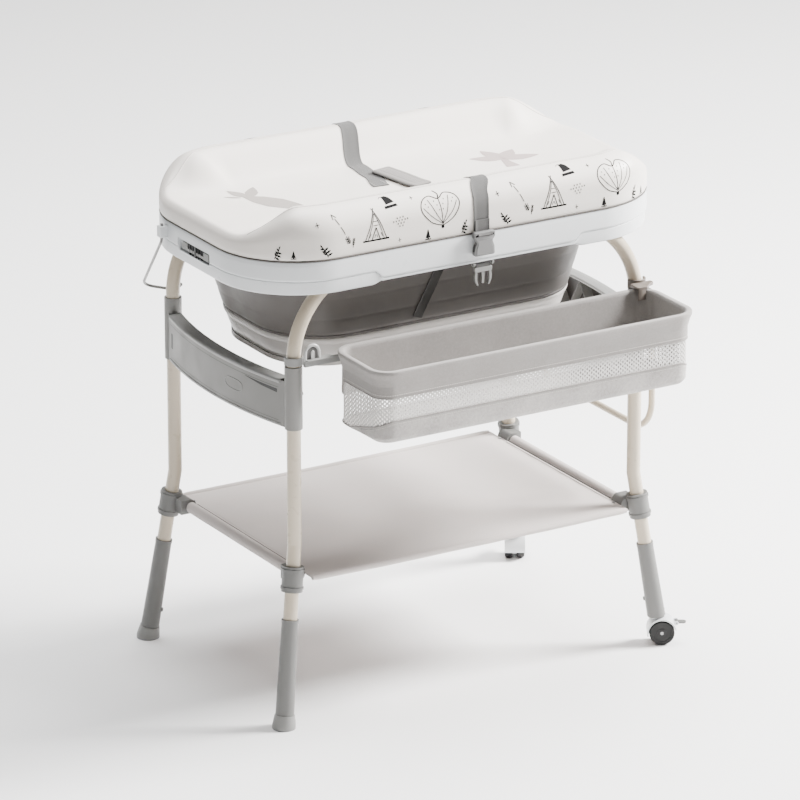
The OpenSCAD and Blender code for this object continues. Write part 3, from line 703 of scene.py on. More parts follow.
def dimple(x, y):
    """Small rises and hollows of the foam and its cover."""
    soft = wobble(x / 95, y / 60, 3.1) * 0.9 + wobble(x / 34, y / 26, 7.7) * 0.3
    under_strap = ridge(x, strap_middle(y), 27) * (0.6 + 1.1 * bolster_share(x, y))
    base_line = ridge(abs(y), 104, 9) * 0.5
    pucker = ridge(abs(y), 193, 7) * 0.35 * wobble(x / 9, y / 40, 1.3)
    return soft * 0.7 - under_strap - base_line + pucker


def mat_height(x, y, d=None):
    d = inset_of(x, y) if d is None else d
    thick = mat_thickness(x, y)
    r = edge_radius(thick)
    fall = 1 - min(max(d, 0) / r, 1)
    inner = min(max(d, 0) / 40, 1)
    return MAT_BASE + thick - r + r * math.sqrt(1 - fall * fall) + dimple(x, y) * inner


def mat_normal(x, y, step=1.5):
    dx = (mat_height(x + step, y) - mat_height(x - step, y)) / (2 * step)
    dy = (mat_height(x, y + step) - mat_height(x, y - step)) / (2 * step)
    return Vector((-dx, -dy, 1)).normalized()


def mat_cover():
    insets = [0.4, 1.2, 2.5, 4.5, 7, 10, 13.5, 17.5, 22, 27, 32.5, 38.5, 45]
    insets += [45 + 6.5 * i for i in range(1, 30)] + [239.5]
    loops = {d: loop_points(TOP_L - 2 * d, TOP_W - 2 * d, max(TOP_R - d, 0.3), (96, 22), 26)
             for d in [0, 6, 14] + insets}
    rings = [[at(x, y, MAT_BASE + rise) for x, y, _, _ in loops[d]] for d, rise in ((14, 0.1), (6, 0))]
    for share in (0.07, 0.2, 0.5, 0.8, 1.0):
        ring = []
        for x, y, nx, ny in loops[0]:
            thick = mat_thickness(x, y)
            wall = thick - edge_radius(thick)
            tuck = 2.2 * (1 - ease(wall * share, 0, 7)) + 0.35 * wobble(x / 7, y / 7, 2) * (share < 0.3)
            ring.append(at(x - nx * tuck, y - ny * tuck, MAT_BASE + wall * share + 0.4 * (share < 0.1)))
        rings.append(ring)
    rings += [[at(x, y, mat_height(x, y, d)) for x, y, _, _ in loops[d]] for d in insets]
    obj = piece("mat_cover", loft(rings), "mat", mat_vinyl, "mat_vinyl", ["mat_pad", "mat_board"], 60)
    close_and_weld(obj)


def outline_at(u, side=-1):
    """Place and outward normal at a length u along the mat's outline from the middle of a long side."""
    straight = TOP_L / 2 - TOP_R
    if abs(u) <= straight:
        return (u, side * TOP_W / 2), (0, side)
    turn = (abs(u) - straight) / TOP_R
    sx = 1 if u > 0 else -1
    nx, ny = sx * math.sin(turn), side * math.cos(turn)
    return (sx * straight + TOP_R * nx, side * (TOP_W / 2 - TOP_R) + TOP_R * ny), (nx, ny)


def face_point(u, s, side=-1, lift=0.3):
    """A place on a bolster's outer face: u along it and s up from the seam at its foot."""
    u = u if side < 0 else -u
    (x, y), (nx, ny) = outline_at(u, side)
    thick = mat_thickness(x, y)
    r = edge_radius(thick)
    wall = thick - r - SEAM_RISE
    if s <= wall:
        return at(x + nx * lift, y + ny * lift, MAT_BASE + SEAM_RISE + s)
    a = min((s - wall) / r, math.pi / 2)
    d = r * (1 - math.cos(a))
    px, py = x - nx * d, y - ny * d
    out = math.cos(a) * lift
    return at(px + nx * out, py + ny * out, mat_height(px, py, d) + lift * math.sin(a))


def stroke(points, widths, place, step=2.5):
    """A drawn line of changing width, laid on a surface by place."""
    way, wide = [], []
    for (a, b), (wa, wb) in zip(zip(points, points[1:]), zip(widths, widths[1:])):
        a, b = Vector(a), Vector(b)
        count = max(1, int((b - a).length / step))
        for k in range(count):
            way.append(a.lerp(b, k / count))
            wide.append(wa + (wb - wa) * k / count)
    way.append(Vector(points[-1]))
    wide.append(widths[-1])
    vertices, faces = [], []
    for i, (p, w) in enumerate(zip(way, wide)):
        t = (way[min(i + 1, len(way) - 1)] - way[max(i - 1, 0)]).normalized()
        n = Vector((-t.y, t.x))
        for share in (-0.5, 0, 0.5):
            q = p + n * (w * share)
            vertices.append(place(q.x, q.y))
        if i:
            k = (i - 1) * 3
            faces += [(k, k + 1, k + 4, k + 3), (k + 1, k + 2, k + 5, k + 4)]
    return vertices, faces, [SPECK] * len(faces)


def moved(points, x, y, turn=0.0, size=1.0):
    c, s = math.cos(math.radians(turn)) * size, math.sin(math.radians(turn)) * size
    return [(x + px * c - py * s, y + px * s + py * c) for px, py in points]


def draw(strokes, x, y, turn, size, place):
    return [stroke(moved(p, x, y, turn, size), [w * size for w in ws], place) for p, ws in strokes]


def bent(points, steps=6):
    """A smooth line through points."""
    found = []
    for i in range(len(points) - 1):
        p0, p1 = Vector(points[max(i - 1, 0)]), Vector(points[i])
        p2, p3 = Vector(points[i + 1]), Vector(points[min(i + 2, len(points) - 1)])
        for t in (k / steps for k in range(steps)):
            found.append(tuple(0.5 * (2 * p1 + (p2 - p0) * t + (2 * p0 - 5 * p1 + 4 * p2 - p3) * t * t
                                      + (3 * p1 - p0 - 3 * p2 + p3) * t ** 3)))
    found.append(tuple(points[-1]))
    return found


# Each motif is a list of strokes: points, and a width at each point.

LINE_WEIGHT = 1.9


def line(width, *points):
    return points, [width * LINE_WEIGHT] * len(points)


def curve(width, *points):
    return line(width, *bent(points))


def leaf(x, y, turn, length, width):
    shares = ((0, 0.2), (0.2, 0.75), (0.45, 1.0), (0.7, 0.7), (0.9, 0.3), (1, 0.05))
    return moved([(length * t, 0) for t, _ in shares], x, y, turn), [width * w for _, w in shares]


TENT = [line(1.6, (-26, 0), (26, 0)), line(0.6, (-5, 26), (5, 26)), line(0.6, (-4, 33), (4, 33))]
for sx in (-1, 1):
    TENT += [line(0.8, (sx * 21, 1), (sx * -2, 57)), line(0.6, (sx * 16, 1), (0, 47)),
             line(0.9, (sx * 8, 1), (0, 22)), line(0.7, (sx * 13, 5), (sx * 10, 12)),
             line(0.6, (sx * 3, 4), (sx * 1, 10))]
BROAD_LEAF = [curve(0.9, (0, -34), (-22, -24), (-38, -2), (-33, 16), (-16, 24), (0, 15), (16, 24), (33, 16),
                    (38, -2), (22, -24), (0, -34)),
              line(0.7, (0, -34), (0, 15)), curve(1.1, (0, 15), (3, 24), (-2, 34))]
for sx in (-1, 1):
    BROAD_LEAF += [curve(0.6, (0, -30), (sx * 12, -8), (sx * 21, 17)),
                   curve(0.6, (0, -31), (sx * 20, -14), (sx * 34, 4))]
    BROAD_LEAF += [line(1.2, (sx * x - 0.7, y), (sx * x + 0.7, y))
                   for x, y in ((6, 4), (10, 12), (4, -5), (24, 4), (28, 10))]
SPRIG = [line(1.0, (0, 0), (-3, 10), (-9, 21)), leaf(0, 3, 15, 9, 4), leaf(-2, 8, 25, 9, 4),
         leaf(-4.5, 13, 35, 8, 4), leaf(-1.5, 5, 150, 8, 3.6), leaf(-3, 10, 160, 8, 3.6),
         leaf(-6, 16, 165, 7, 3.4), leaf(-9, 20, 112, 6, 3)]
POT = [([(0, 0), (0, 5)], [25, 23]), ([(1, 8), (0, 20), (-2, 27)], [17, 13, 8]),
       (bent([(-2, 26), (-8, 27), (-12, 23)]), [2, 2, 1.8, 1.6, 1.4, 1.2, 1, 1, 1, 0.9, 0.9, 0.8, 0.8])]
PLUS = [line(0.7, (-4, 0), (4, 0)), line(0.7, (0, -5), (0, 5))]
PINE = [([(0, 3), (0, 9), (0, 18)], [10, 6, 1.2]), line(1.4, (0, 0), (0, 4)), line(1, (-6, 0.5), (6, 0.5))]
FEATHER = [line(0.7, (0, 0), (0, 17))]
FEATHER += [line(0.6, (0, y), (sx * 2.4, y + 3)) for y in (4, 7, 10, 13) for sx in (-1, 1)]
ARROW = [line(0.7, (0, y), (0, top)) for y, top in ((0, 16), (20, 36), (40, 54))]
ARROW += [line(0.8, (-4, 54), (0, 64), (4, 54))]
ARROW += [line(0.8, (0, y), (sx * 4, y + 5)) for y in (0, 4, 8) for sx in (-1, 1)]
DOTS = [line(1.5, (x - 0.9, y), (x + 0.9, y)) for y, row in ((0, (-6, 0, 6)), (5, (-14, -9, -3, 3, 9, 14)),
                                                             (10, (-6, 0, 6)), (-5, (-3, 3))) for x in row]
BUTTON = [([(0, -3), (0, -1.5), (0, 1.5), (0, 3)], [1.5, 5.2, 5.2, 1.5])]
PRINT_REPEAT = 360
PRINT_STARTS = range(-559, 522, PRINT_REPEAT)
PRINT_LIMITS = (-392, 408)
BACK_PRINT_TOP = 80     # prints higher than this are left off the back face
PRINTS = {
    ink_line: [(TENT, 0, 20, 0, 1.0), (BROAD_LEAF, 132, 58, 4, 1.0), (ARROW, -52, 22, 27, 1.0),
               (DOTS, 50, 42, 5, 1.0), (PLUS, -112, 62, 12, 1.0), (PLUS, 47, 12, 8, 0.8),
               (FEATHER, -46, 14, -8, 1.0), (PLUS, 82, 84, 0, 0.8)],
    ink_dark: [(SPRIG, -94, 4, 8, 1.0), (POT, 38, 72, 6, 1.05), (PINE, 104, 3, 0, 1.0),
               (SPRIG, 172, 4, -48, 0.9), (BUTTON, 134, 22, 0, 1.1), (PINE, 205, 4, 0, 0.8)],
}


def bolster_prints():
    for side, word in ((-1, "front"), (1, "back")):
        for ink, motifs in PRINTS.items():
            parts = []
            for start in PRINT_STARTS:
                for strokes, u, s, turn, size in motifs:
                    if PRINT_LIMITS[0] < start + u < PRINT_LIMITS[1] and (side < 0 or s < BACK_PRINT_TOP):
                        parts += draw(strokes, start + u, s, turn, size, lambda a, b: face_point(a, b, side))
            piece(f"print_{word}_{ink.name}", merged(parts), "mat", ink, "mat_vinyl", sharp=180)


def on_channel(x, y, lift=0.35):
    return at(x, y, mat_height(x, y) + lift)


def channel_prints():
    """Large pale shapes on the lying surface: a long leaf with smaller ones, and a plant."""
    long_leaf = [leaf(-6, 0, 0, 142, 50), leaf(4, 2, 118, 58, 24), leaf(0, 0, 168, 52, 22),
                 leaf(-8, -10, 205, 30, 8)]
    plant = [leaf(0, 0, 12, 70, 30), leaf(0, 0, 62, 58, 30), leaf(0, 0, 122, 60, 30), leaf(0, 0, 172, 60, 28),
             ([(0, 4), (4, -20), (10, -46)], [9, 16, 26])]
    for word, ink, strokes, x, y, turn in (("left", ink_grey, long_leaf, -292, 44, -62),
                                           ("right", ink_blush, plant, 208, 6, -20)):
        drawn = draw(strokes, x, y, turn, 1.0, on_channel)
        piece(f"print_channel_{word}", merged(drawn), "mat", ink, "mat_vinyl", sharp=180)


def mat_seams():
    """Piping where the printed faces meet the plain top, its stitches, and the binding at the foot."""
    parts, stitches = [], []
    ends = [(401, 148), (388, 152), (366, 161), (342, 173), (312, 186)]
    for sy in (-1, 1):
        route = [(-x, sy * y) for x, y in ends] + [(x, sy * 193.5) for x in range(-276, 277, 12)]
        route += [(x, sy * y) for x, y in reversed(ends)]
        parts.append(tube_mesh([on_channel(x, y, 0.1) for x, y in bent(route, 3)], 0.9, 8))
        run = [Vector((x, sy * 188.5, mat_height(x, sy * 188.5) + 0.2)) for x in range(-300, 301, 6)]
        stitches.append(stitch_line(run, [mat_normal(p.x, p.y) for p in run], 3.2, 1.6, 0.4))
    piece("mat_piping", merged(parts), "mat", piping_cloth, "mat_vinyl")
    foot = [at(x - nx * 1.1, y - ny * 1.1, MAT_BASE + 1.2)
            for x, y, nx, ny in loop_points(*TOP, (60, 14), 16)]
    piece("mat_foot_binding", tube_mesh(foot + foot[:2], 1.2, 8, caps=False), "mat", dark_binding,
          "mat_vinyl")
    piece("mat_stitches", merged(stitches), "mat", seam_thread, "mat_vinyl")


# ---- strap and buckle ----

RIBBON = [(-1, 0.15), (-0.97, 0.95), (-0.9, 1.0), (-0.86, 0.82), (-0.5, 0.8), (0, 0.8), (0.5, 0.8),
          (0.86, 0.82), (0.9, 1.0), (0.97, 0.95), (1, 0.15), (0.9, 0), (0, 0), (-0.9, 0)]


def strap_ribbon(name, route, thickness=1.5, replaces=(), body="mat", material=grey_webbing,
                 slot="strap_webbing"):
    """A flat band through (place, normal, half width) steps, with thicker woven edges; also its length."""
    rings = []
    for i, (p, n, half) in enumerate(route):
        ahead = route[min(i + 1, len(route) - 1)][0] - route[max(i - 1, 0)][0]
        across = ahead.normalized().cross(n).normalized()
        rings.append([at(*(p + across * (half * a) + n * (thickness * b))) for a, b in RIBBON])
    around = [a * STRAP_W * 0.5 * MM for a, _ in RIBBON + RIBBON[:1]]
    along = lengths_along([ring[5] for ring in rings])
    return piece(name, skin(rings, around, along, caps=True), body, material, slot, replaces, 50), along[-1]


def wrapped_route(side, y_end, foot_z):
    """The strap's way from its low end on one side of the mat, over that bolster, to y_end on the channel."""
    half = STRAP_W / 2
    x = strap_middle(side * 240)
    route = [(Vector((x, side * 240.6, foot_z + (872 - foot_z) * i / 8)), Vector((0, side, 0)), half)
             for i in range(9)]
    r = edge_radius(mat_thickness(0, 240))
    for a in (math.radians(90 * k / 10) for k in range(1, 10)):
        d = r * (1 - math.cos(a))
        y = side * (240 - d)
        n = Vector((0, side * math.cos(a), math.sin(a)))
        route.append((Vector((strap_middle(y), y, mat_height(strap_middle(y), y, d))) + n * 0.5, n, half))
    y_start = side * 193
    count = max(2, int(abs(y_end - y_start) / 5))
    for y in (y_start + (y_end - y_start) * i / count for i in range(count + 1)):
        n = mat_normal(strap_middle(y), y, 4)
        route.append((Vector((strap_middle(y), y, mat_height(strap_middle(y), y))) + n * 0.5, n, half))
    return route


def straps():
    parts = []
    for word, side, y_end, foot_z in (("back", 1, -20, 852), ("front", -1, -60, 846)):
        route = wrapped_route(side, y_end, foot_z)
        strap, length = strap_ribbon(f"strap_over_{word}", route, replaces=[f"strap_{word}"])
        p, n, half = route[-3]
        for dx in (-half + 4, half - 4):
            run = [Vector((p.x + dx, p.y + dy, 0)) for dy in range(-8, 20, 4)]
            run = [Vector((q.x, q.y, mat_height(q.x, q.y) + 2.0)) for q in run]
            parts.append(stitch_line(run, [n] * len(run), 2.4, 1.2, 0.4))
    piece("strap_stitches", merged(parts), "mat", seam_thread, "strap_webbing")


PAD_AT, PAD_TURN, PAD_SIZE = (-8, -4), math.radians(10), (42, 118, 7)
PAD_SECTION = ((6, 0.0), (2, 0.0), (0.5, 0.7), (0, 1.8), (0.5, 2.9), (1.6, 3.7), (3.5, 4.3), (6.5, 4.6),
               (9.5, 4.7), (10.5, 4.2), (11.5, 4.7), (14, 4.9), (17, 5.0), (20.4, 5.0))


def on_pad(x, y, z):
    """A place in the strap's wide end, which lies turned and a little curled on the channel."""
    wx = PAD_AT[0] + x * math.cos(PAD_TURN) - y * math.sin(PAD_TURN)
    wy = PAD_AT[1] + x * math.sin(PAD_TURN) + y * math.cos(PAD_TURN)
    curl = 0.7 * ease(abs(y), 30, 62) + 0.35 * math.sin(y / 19 + x / 30)
    return at(wx, wy, mat_height(wx, wy) + 2.4 + z + curl)


def soft_end():
    """The strap's loose end: a wide padded band lying on the channel, with a bound edge."""
    width, length, corner = PAD_SIZE

    def pad_loop(d):
        return loop_points(width - 2 * d, length - 2 * d, max(corner - d, 0.3), (12, 34), 8)

    rings = [[on_pad(x, y, z) for x, y, _, _ in pad_loop(d)] for d, z in PAD_SECTION]
    obj = piece("strap_soft_end", loft(rings), "mat", pad_cloth, "strap_webbing", ["strap_pad"], 60)
    close_and_weld(obj)
    edge = [on_pad(x, y, 1.8) for x, y, _, _ in pad_loop(0)]
    binding = tube_mesh(edge + edge[:2], 1.1, 8, caps=False)
    piece("strap_soft_end_binding", binding, "mat", grey_webbing, "strap_webbing")


def buckle():
    """Side-release buckle: the socket hangs from the strap in front of the rim."""
    x0 = strap_middle(-241)
    front = -TOP_W / 2 - 3.4

    def facing(x, z, y):
        return at(x0 + x, front - y, z)

    def block(xs, ys, zs):
        return box_mesh((x0 + xs[0], x0 + xs[1]), (front + ys[0], front + ys[1]), zs)

    body = outline([(-21, 846, 3), (21, 846, 3), (21, 836, 3), (16, 829, 5), (20, 818, 5), (21, 803, 4),
                    (-21, 803, 4), (-20, 818, 5), (-16, 829, 5), (-21, 836, 3)])
    shell = outline([(-17, 832, 3), (17, 832, 3), (13, 826, 4), (16.5, 816, 4), (17, 805, 3), (-17, 805, 3),
                     (-16.5, 816, 4), (-13, 826, 4)])
    looks = ("mat", buckle_grey, "plastic_pale_grey")
    obj = piece("buckle_socket_body", plate_mesh(body, 1.2, 10.6, facing), *looks, ["buckle_socket"], 40,
                (1.4, 3))
    mouth = block((-16, 16), (-9, -3.4), (790, 826))
    windows = merged([block((sx * 19 - 6, sx * 19 + 6), (-8.6, -3.2), (810, 824)) for sx in (-1, 1)])
    slot = block((-18.5, 18.5), (-13, 3), (838.5, 842.5))
    cut(obj, "mat", mouth, windows, slot)
    piece("buckle_socket_face", plate_mesh(shell, 10.4, 11.5, facing), *looks, sharp=40, edge=(0.6, 2))
    # dark sheets lining the mouth and windows: painted shade of the socket's hollow
    inner = [block((-15.5, 15.5), (-8.7, -3.6), (824.2, 825.8)),
             block((-15.5, 15.5), (-3.9, -3.3), (804, 825)), block((-1.2, 1.2), (-8.7, -3.6), (804.5, 812))]
    piece("buckle_socket_inside_shade", merged(inner), "mat", plastic_dark, "plastic_dark", sharp=40)
    half = STRAP_W / 2 - 1
    band = [(Vector((x0, front - 1.0 + 0.4, z)), Vector((0, -1, 0)), half) for z in (866, 856, 848, 843.6)]
    for a in (math.radians(k) for k in (20, 60, 100, 140, 180, 215)):
        over = Vector((x0, front - 5.8 + 6.4 * math.cos(a), 841 + 3.2 * math.sin(a)))
        band.append((over, Vector((0, math.cos(a), math.sin(a))), half))
    strap_ribbon("strap_buckle_turn", band)


def plug():
    """The buckle's other half: two prongs and a tongue on a bar, hung on the rim's anchor by webbing."""
    low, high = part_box("buckle_plug")
    x0 = ((low.x + high.x) / 2 - MIDDLE.x) / MM
    y0 = ((low.y + high.y) / 2 - MIDDLE.y) / MM
    top = high.z / MM

    def facing(x, z, y):
        return at(x0 + x, y0 + y, top + z)

    bar = outline([(-18, -8, 2), (18, -8, 2), (17, -16.5, 3), (-17, -16.5, 3)])
    tongue = outline([(-3, -15, 0), (3, -15, 0), (2.2, -38, 1.5), (-2.2, -38, 1.5)], 3)
    parts = [plate_mesh(bar, -2.6, 2.6, facing)]
    for sx in (-1, 1):
        prong = [(15.5, -15, 0), (17.4, -24, 2), (16.4, -33, 2), (11.4, -42, 1.5), (9.6, -40, 1),
                 (12.4, -32, 1.5), (12.0, -15, 0)]
        parts.append(plate_mesh(outline([(sx * x, z, r) for x, z, r in prong], 3), -2.2, 2.2, facing))
    parts.append(plate_mesh(tongue, -1.6, 1.6, facing))
    piece("buckle_prongs", merged(parts), "buckle_plug", plastic_pale_grey, "plastic_pale_grey",
          ["buckle_plug"], 40, (0.6, 2))
    rods = [tube_mesh([facing(-x, z, 0), facing(x, z, 0)], r, sides)
            for x, z, r, sides in ((20.4, -1.6, 1.5, 16), (16, -9.5, 1.6, 12))]
    piece("buckle_pin", merged(rods), "buckle_plug", steel_screw, "plastic_pale_grey")
    web = box_mesh((x0 - 15, x0 + 15), (y0 - 1.9, y0 + 1.9), (top - 8.6, top + 0.1))
    piece("buckle_webbing", web, "buckle_plug", grey_webbing, "strap_webbing", edge=(1.5, 3))


mat_cover()
mat_seams()
bolster_prints()
channel_prints()
straps()
soft_end()
buckle()
plug()


# ---- rim ----

TUB_MOUTH = (690, 380, 145)
TUB_X = -17
RIM_TOP, RIM_STEP = 840, 805
RIM_LOW_END, RIM_LOW_MID = 780, 788
RAISED = (-205, -175, 195, 225)     # where the lower edge rises and falls along the long sides
MOUTH_SECTION = [(3, RIM_TOP - 6), (3, RIM_TOP - 54), (1.5, RIM_TOP - 56), (0, RIM_TOP - 52),
                 (0, RIM_TOP - 5), (0.8, RIM_TOP - 1.6), (3, RIM_TOP)]


def raised_share(x, y):
    if abs(y) < 200:
        return 0.0
    return ease(x, RAISED[0], RAISED[1]) * (1 - ease(x, RAISED[2], RAISED[3]))


def rim_profile(x, y):
    up = raised_share(x, y)
    low = RIM_LOW_END + (RIM_LOW_MID - RIM_LOW_END) * up
    step = RIM_STEP - (RIM_STEP - RIM_LOW_MID - 3.4) * ease(up, 0.0, 0.8)
    return fillet([(-26, RIM_TOP, 0), (-1.0, RIM_TOP, 1.6), (-0.2, RIM_TOP - 9, 4), (0, step + 4, 2),
                   (-0.4, step + 1.4, 1.0), (-2.6, step + 0.5, 0.5), (-2.8, step - 0.4, 0.4),
                   (-1.6, step - 1.4, 0.8), (-1.9, step - 6, 2), (-3.0, low + 2, 2.5), (-5.2, low, 1.6),
                   (-7, low + 1.5, 0.8),
                   (-7, RIM_TOP - 8, 2)], 3)


def rim():
    rings = carried(loop_points(*TOP, (150, 24), 24), rim_profile)
    rings += carried(loop_points(*TUB_MOUTH, (150, 24), 24), lambda x, y: MOUTH_SECTION, (TUB_X, 0))
    obj = piece("rim_shell", loft(rings, True), "stand", plastic_white, "plastic_white", ["rim"])
    pocket = oblong(-57, 797.5, 57, 823.5, 6)
    cut(obj, "stand", plate_mesh(pocket, -430, -414, lambda y, z, x: at(x, y, z)))


def latch():
    """The pocket in the left end: a white liner, with ribs and two blocks behind the lever painted dark as
    shade in the pocket's gaps.
    """
    x0 = -TOP_L / 2
    outer = oblong(-56.4, 798.1, 56.4, 822.9, 5.5)
    inner = oblong(-54.6, 799.9, 54.6, 821.1, 4.4)
    rings = [[at(x0 + x, y, z) for y, z in edge]
             for x, edge in ((17, outer), (1.2, outer), (0.9, inner), (15, inner))]
    obj = piece("latch_liner", loft(rings), "stand", plastic_white, "plastic_dark", ["latch_housing"])
    close_and_weld(obj, 0.00001)
    # dark ribs and blocks: painted shade of the pocket's deep gaps
    shaded_ribs = [box_mesh((x0 + 3, x0 + 15), (y - 0.9, y + 0.9), (800.2, 821)) for y in range(-50, 51, 10)
            if abs(abs(y) - 38) > 13]
    shaded_ribs.append(box_mesh((x0 + 2.2, x0 + 15), (-3, 3), (800, 821)))
    shaded_ribs += [box_mesh((x0 + 5, x0 + 15), (y - 15, y + 15), (802.5, 818.5)) for y in (-34, 24)]
    piece("latch_ribs", merged(shaded_ribs), "stand", plastic_dark, "plastic_dark", edge=(0.4, 2))


rim()
latch()


# ---- tub ----

# A shell's ends are (length, width, corner radius, height); its sections are (share down, outward) points.
TUB_WALL = (TUB_MOUTH[0] - 0.6, TUB_MOUTH[1] - 0.6, TUB_MOUTH[2] - 0.3, 786), (618, 336, 125, 668.1)
WALL_OUTSIDE = [(0, -0.6), (0.005, 0), (0.03, 0), (0.3, 0.5), (0.34, 0.2), (0.36, -0.1), (0.38, 0.2),
                (0.42, 0.5), (0.64, 0.4), (0.675, 0.1), (0.695, -0.2), (0.715, 0.1), (0.75, 0.4), (0.9, 0.2),
                (0.93, 0.15),
                (0.94, -0.7), (0.955, -0.7), (0.962, 0.2), (0.985, 0.5), (0.995, 0.3), (1, -0.6)]
WALL_INSIDE = [(0, -2.4), (0.01, -3), (0.35, -2.8), (0.37, -3.2), (0.39, -2.8), (0.68, -2.8), (0.70, -3.2),
               (0.72, -2.8), (0.99, -3), (1, -2.4)]
TUB_RING = (618, 336, 125, 668), (584, 312, 112, 622)
RING_OUTSIDE = [(0, -2), (0, -0.8), (0.02, 0.6), (0.06, 1.6), (0.16, 1.6), (0.20, 1.0), (0.24, 0.2),
                (0.27, -0.3), (0.31, 0.1), (0.6, 0.2), (0.82, -0.2), (0.86, -1.0), (0.89, -1.0), (0.92, 0),
                (0.96, -0.2),
                (0.99, -1.0), (1, -2.2)]
RING_INSIDE = [(0, -2.4), (0.03, -3), (0.97, -3), (1, -2.8)]
# A painted cast shadow, a dark strip, runs down the front wall through these (x, z) places.
SHADOW_STRIP_WAY = ((-38, 776), (-44, 762), (-50, 746), (-57, 728), (-64, 712), (-70, 697), (-76, 681))
SHADOW_STRIP_HALF, SHADOW_STRIP_LIFT = 10, 0.9


def shell_between(top, end, outside, inside):
    """Skin between two rounded rectangles at two heights."""
    rings = []
    for share, out in outside + inside[::-1]:
        l, w, r, z = (a + (b - a) * share for a, b in zip(top, end))
        rings.append([at(TUB_X + x + nx * out, y + ny * out, z)
                      for x, y, nx, ny in loop_points(l, w, r, (60, 20), 16)])
    return loft(rings, True)


def wall_width(z):
    """How wide the tub is between its front and back walls at a height."""
    (_, top_width, _, top_z), (_, low_width, _, low_z) = TUB_WALL[0], TUB_RING[0]
    return top_width + (low_width - top_width) * (top_z - z) / (top_z - low_z)


def tub():
    shape = shell_between(*TUB_WALL, WALL_OUTSIDE, WALL_INSIDE)
    wall = piece("tub_fold_wall", shape, "stand", tub_rubber, "tub_rubber", ["tub_wall"], 40)
    # The dark band on the front wall is a painted cast shadow.
    facing = Vector((0, -1, -0.18)).normalized()
    band = [(Vector((x, -wall_width(z) / 2 - SHADOW_STRIP_LIFT, z)), facing, SHADOW_STRIP_HALF) for x, z in SHADOW_STRIP_WAY]
    strip, _ = strap_ribbon("tub_wall_painted_shadow", band, 1.2, body="stand", material=shadow_strip_rubber,
                            slot="tub_rubber")
    for part in (wall, strip):
        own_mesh(part)
    shape = shell_between(*TUB_RING, RING_OUTSIDE, RING_INSIDE)
    piece("tub_lower_ring", shape, "tub_base", plastic_light, "plastic_light", ["tub_ring"], 40)


tub()


# ---- basket ----

BASKET = (655, 170, 40)
BASKET_AT = (37.5, -318)
BAND_LOW, TRAY_TOP, BASKET_LOW = 630, 589, 547
BAND_DROP = 34          # how much further down the band reaches along the back
TRAY_RISE = TRAY_TOP - BASKET_LOW
TRAY_BEND = 572         # where the tray's side bends in, at its full height
FLOOR_INSET = 39.5
BAND_SECTION = fillet([(-10.5, BAND_LOW, 0), (-8.0, BAND_LOW, 1.6), (-7.6, 637, 3), (-7.8, 652, 12),
                       (-4.2, 666, 10), (-0.6, 675, 5), (-0.4, 681.4, 3.6), (-6, 682, 4), (-11, 681.2, 3.5),
                       (-12.4, 676, 3),
                       (-12.6, 668, 5), (-12.8, 650, 8), (-12.8, BAND_LOW, 0)], 3)
NET_SLACK = ((0, 0), (0.25, 0.5), (0.5, 0.7), (0.75, 0.5), (1, 0))     # share up, and share of the slack


def round_basket(profile):
    return loft(carried(loop_points(*BASKET, (110, 26), 14), profile, BASKET_AT), True)


def band_low(x, y):
    return BAND_LOW - BAND_DROP * ease(y, 46, 80)


def band_profile(x, y):
    """The upper band's section, with the small unevenness of sewn cloth."""
    uneven = 0.55 * (wobble(x / 60, y / 60, 2) + 0.4 * wobble(x / 18, y / 18, 11))
    drop = BAND_LOW - band_low(x, y)
    return [(d + uneven * ease(z, 633, 645), z - drop * (1 - ease(z, 630, 652))) for d, z in BAND_SECTION]


def tray_share(x, y):
    """How far up the tray's cloth reaches: full along the front, less round the ends, a hem at the back."""
    straight_x, straight_y = BASKET[0] / 2 - BASKET[2], BASKET[1] / 2 - BASKET[2]
    if y < -straight_y:
        turned = BASKET[2] * math.atan2(max(abs(x) - straight_x, 0), max(-y - straight_y, 1e-3))
    else:
        turned = BASKET[2] * math.pi / 2 + y + straight_y
    return max(0.14, 1 - max(turned - 8, 0) / 150)


def tray_edge(x, y):
    return BASKET_LOW + TRAY_RISE * tray_share(x, y)


def net_profile(x, y):
    low = tray_edge(x, y) - 2
    rise = band_low(x, y) + 5 - low
    slack = 0.8 + 0.5 * wobble(x / 46, y / 46, 4)
    face = [(-9.9 - k * slack, low + rise * share) for share, k in NET_SLACK]
    return face + [(d - 0.6, z) for d, z in reversed(face)]


def tray_profile(x, y):
    top, k = tray_edge(x, y), tray_share(x, y)
    bend = TRAY_BEND * k + BASKET_LOW * (1 - k)
    face = fillet([(-9.2, top + 1.2, 1.0), (-8.9, top - 4 * k, 2), (-9.2, bend + 2, 6),
                   (-9.8, BASKET_LOW + 9 * k + 1.6, 6), (-17, BASKET_LOW, 10), (-40, BASKET_LOW, 0)])
    back = fillet([(-40, BASKET_LOW + 3, 0), (-20, BASKET_LOW + 3, 8), (-12.8, BASKET_LOW + 9 * k + 3.4, 6),
                   (-12.4, bend + 3, 5), (-12.0, top + 1.2, 1.0)])
    ripple = 0.8 * k * wobble(x / 62, y / 62, 6)
    return [(d + ripple * ease(z, 549, 556) * (1 - ease(z, 580, 588)), z) for d, z in face + back]


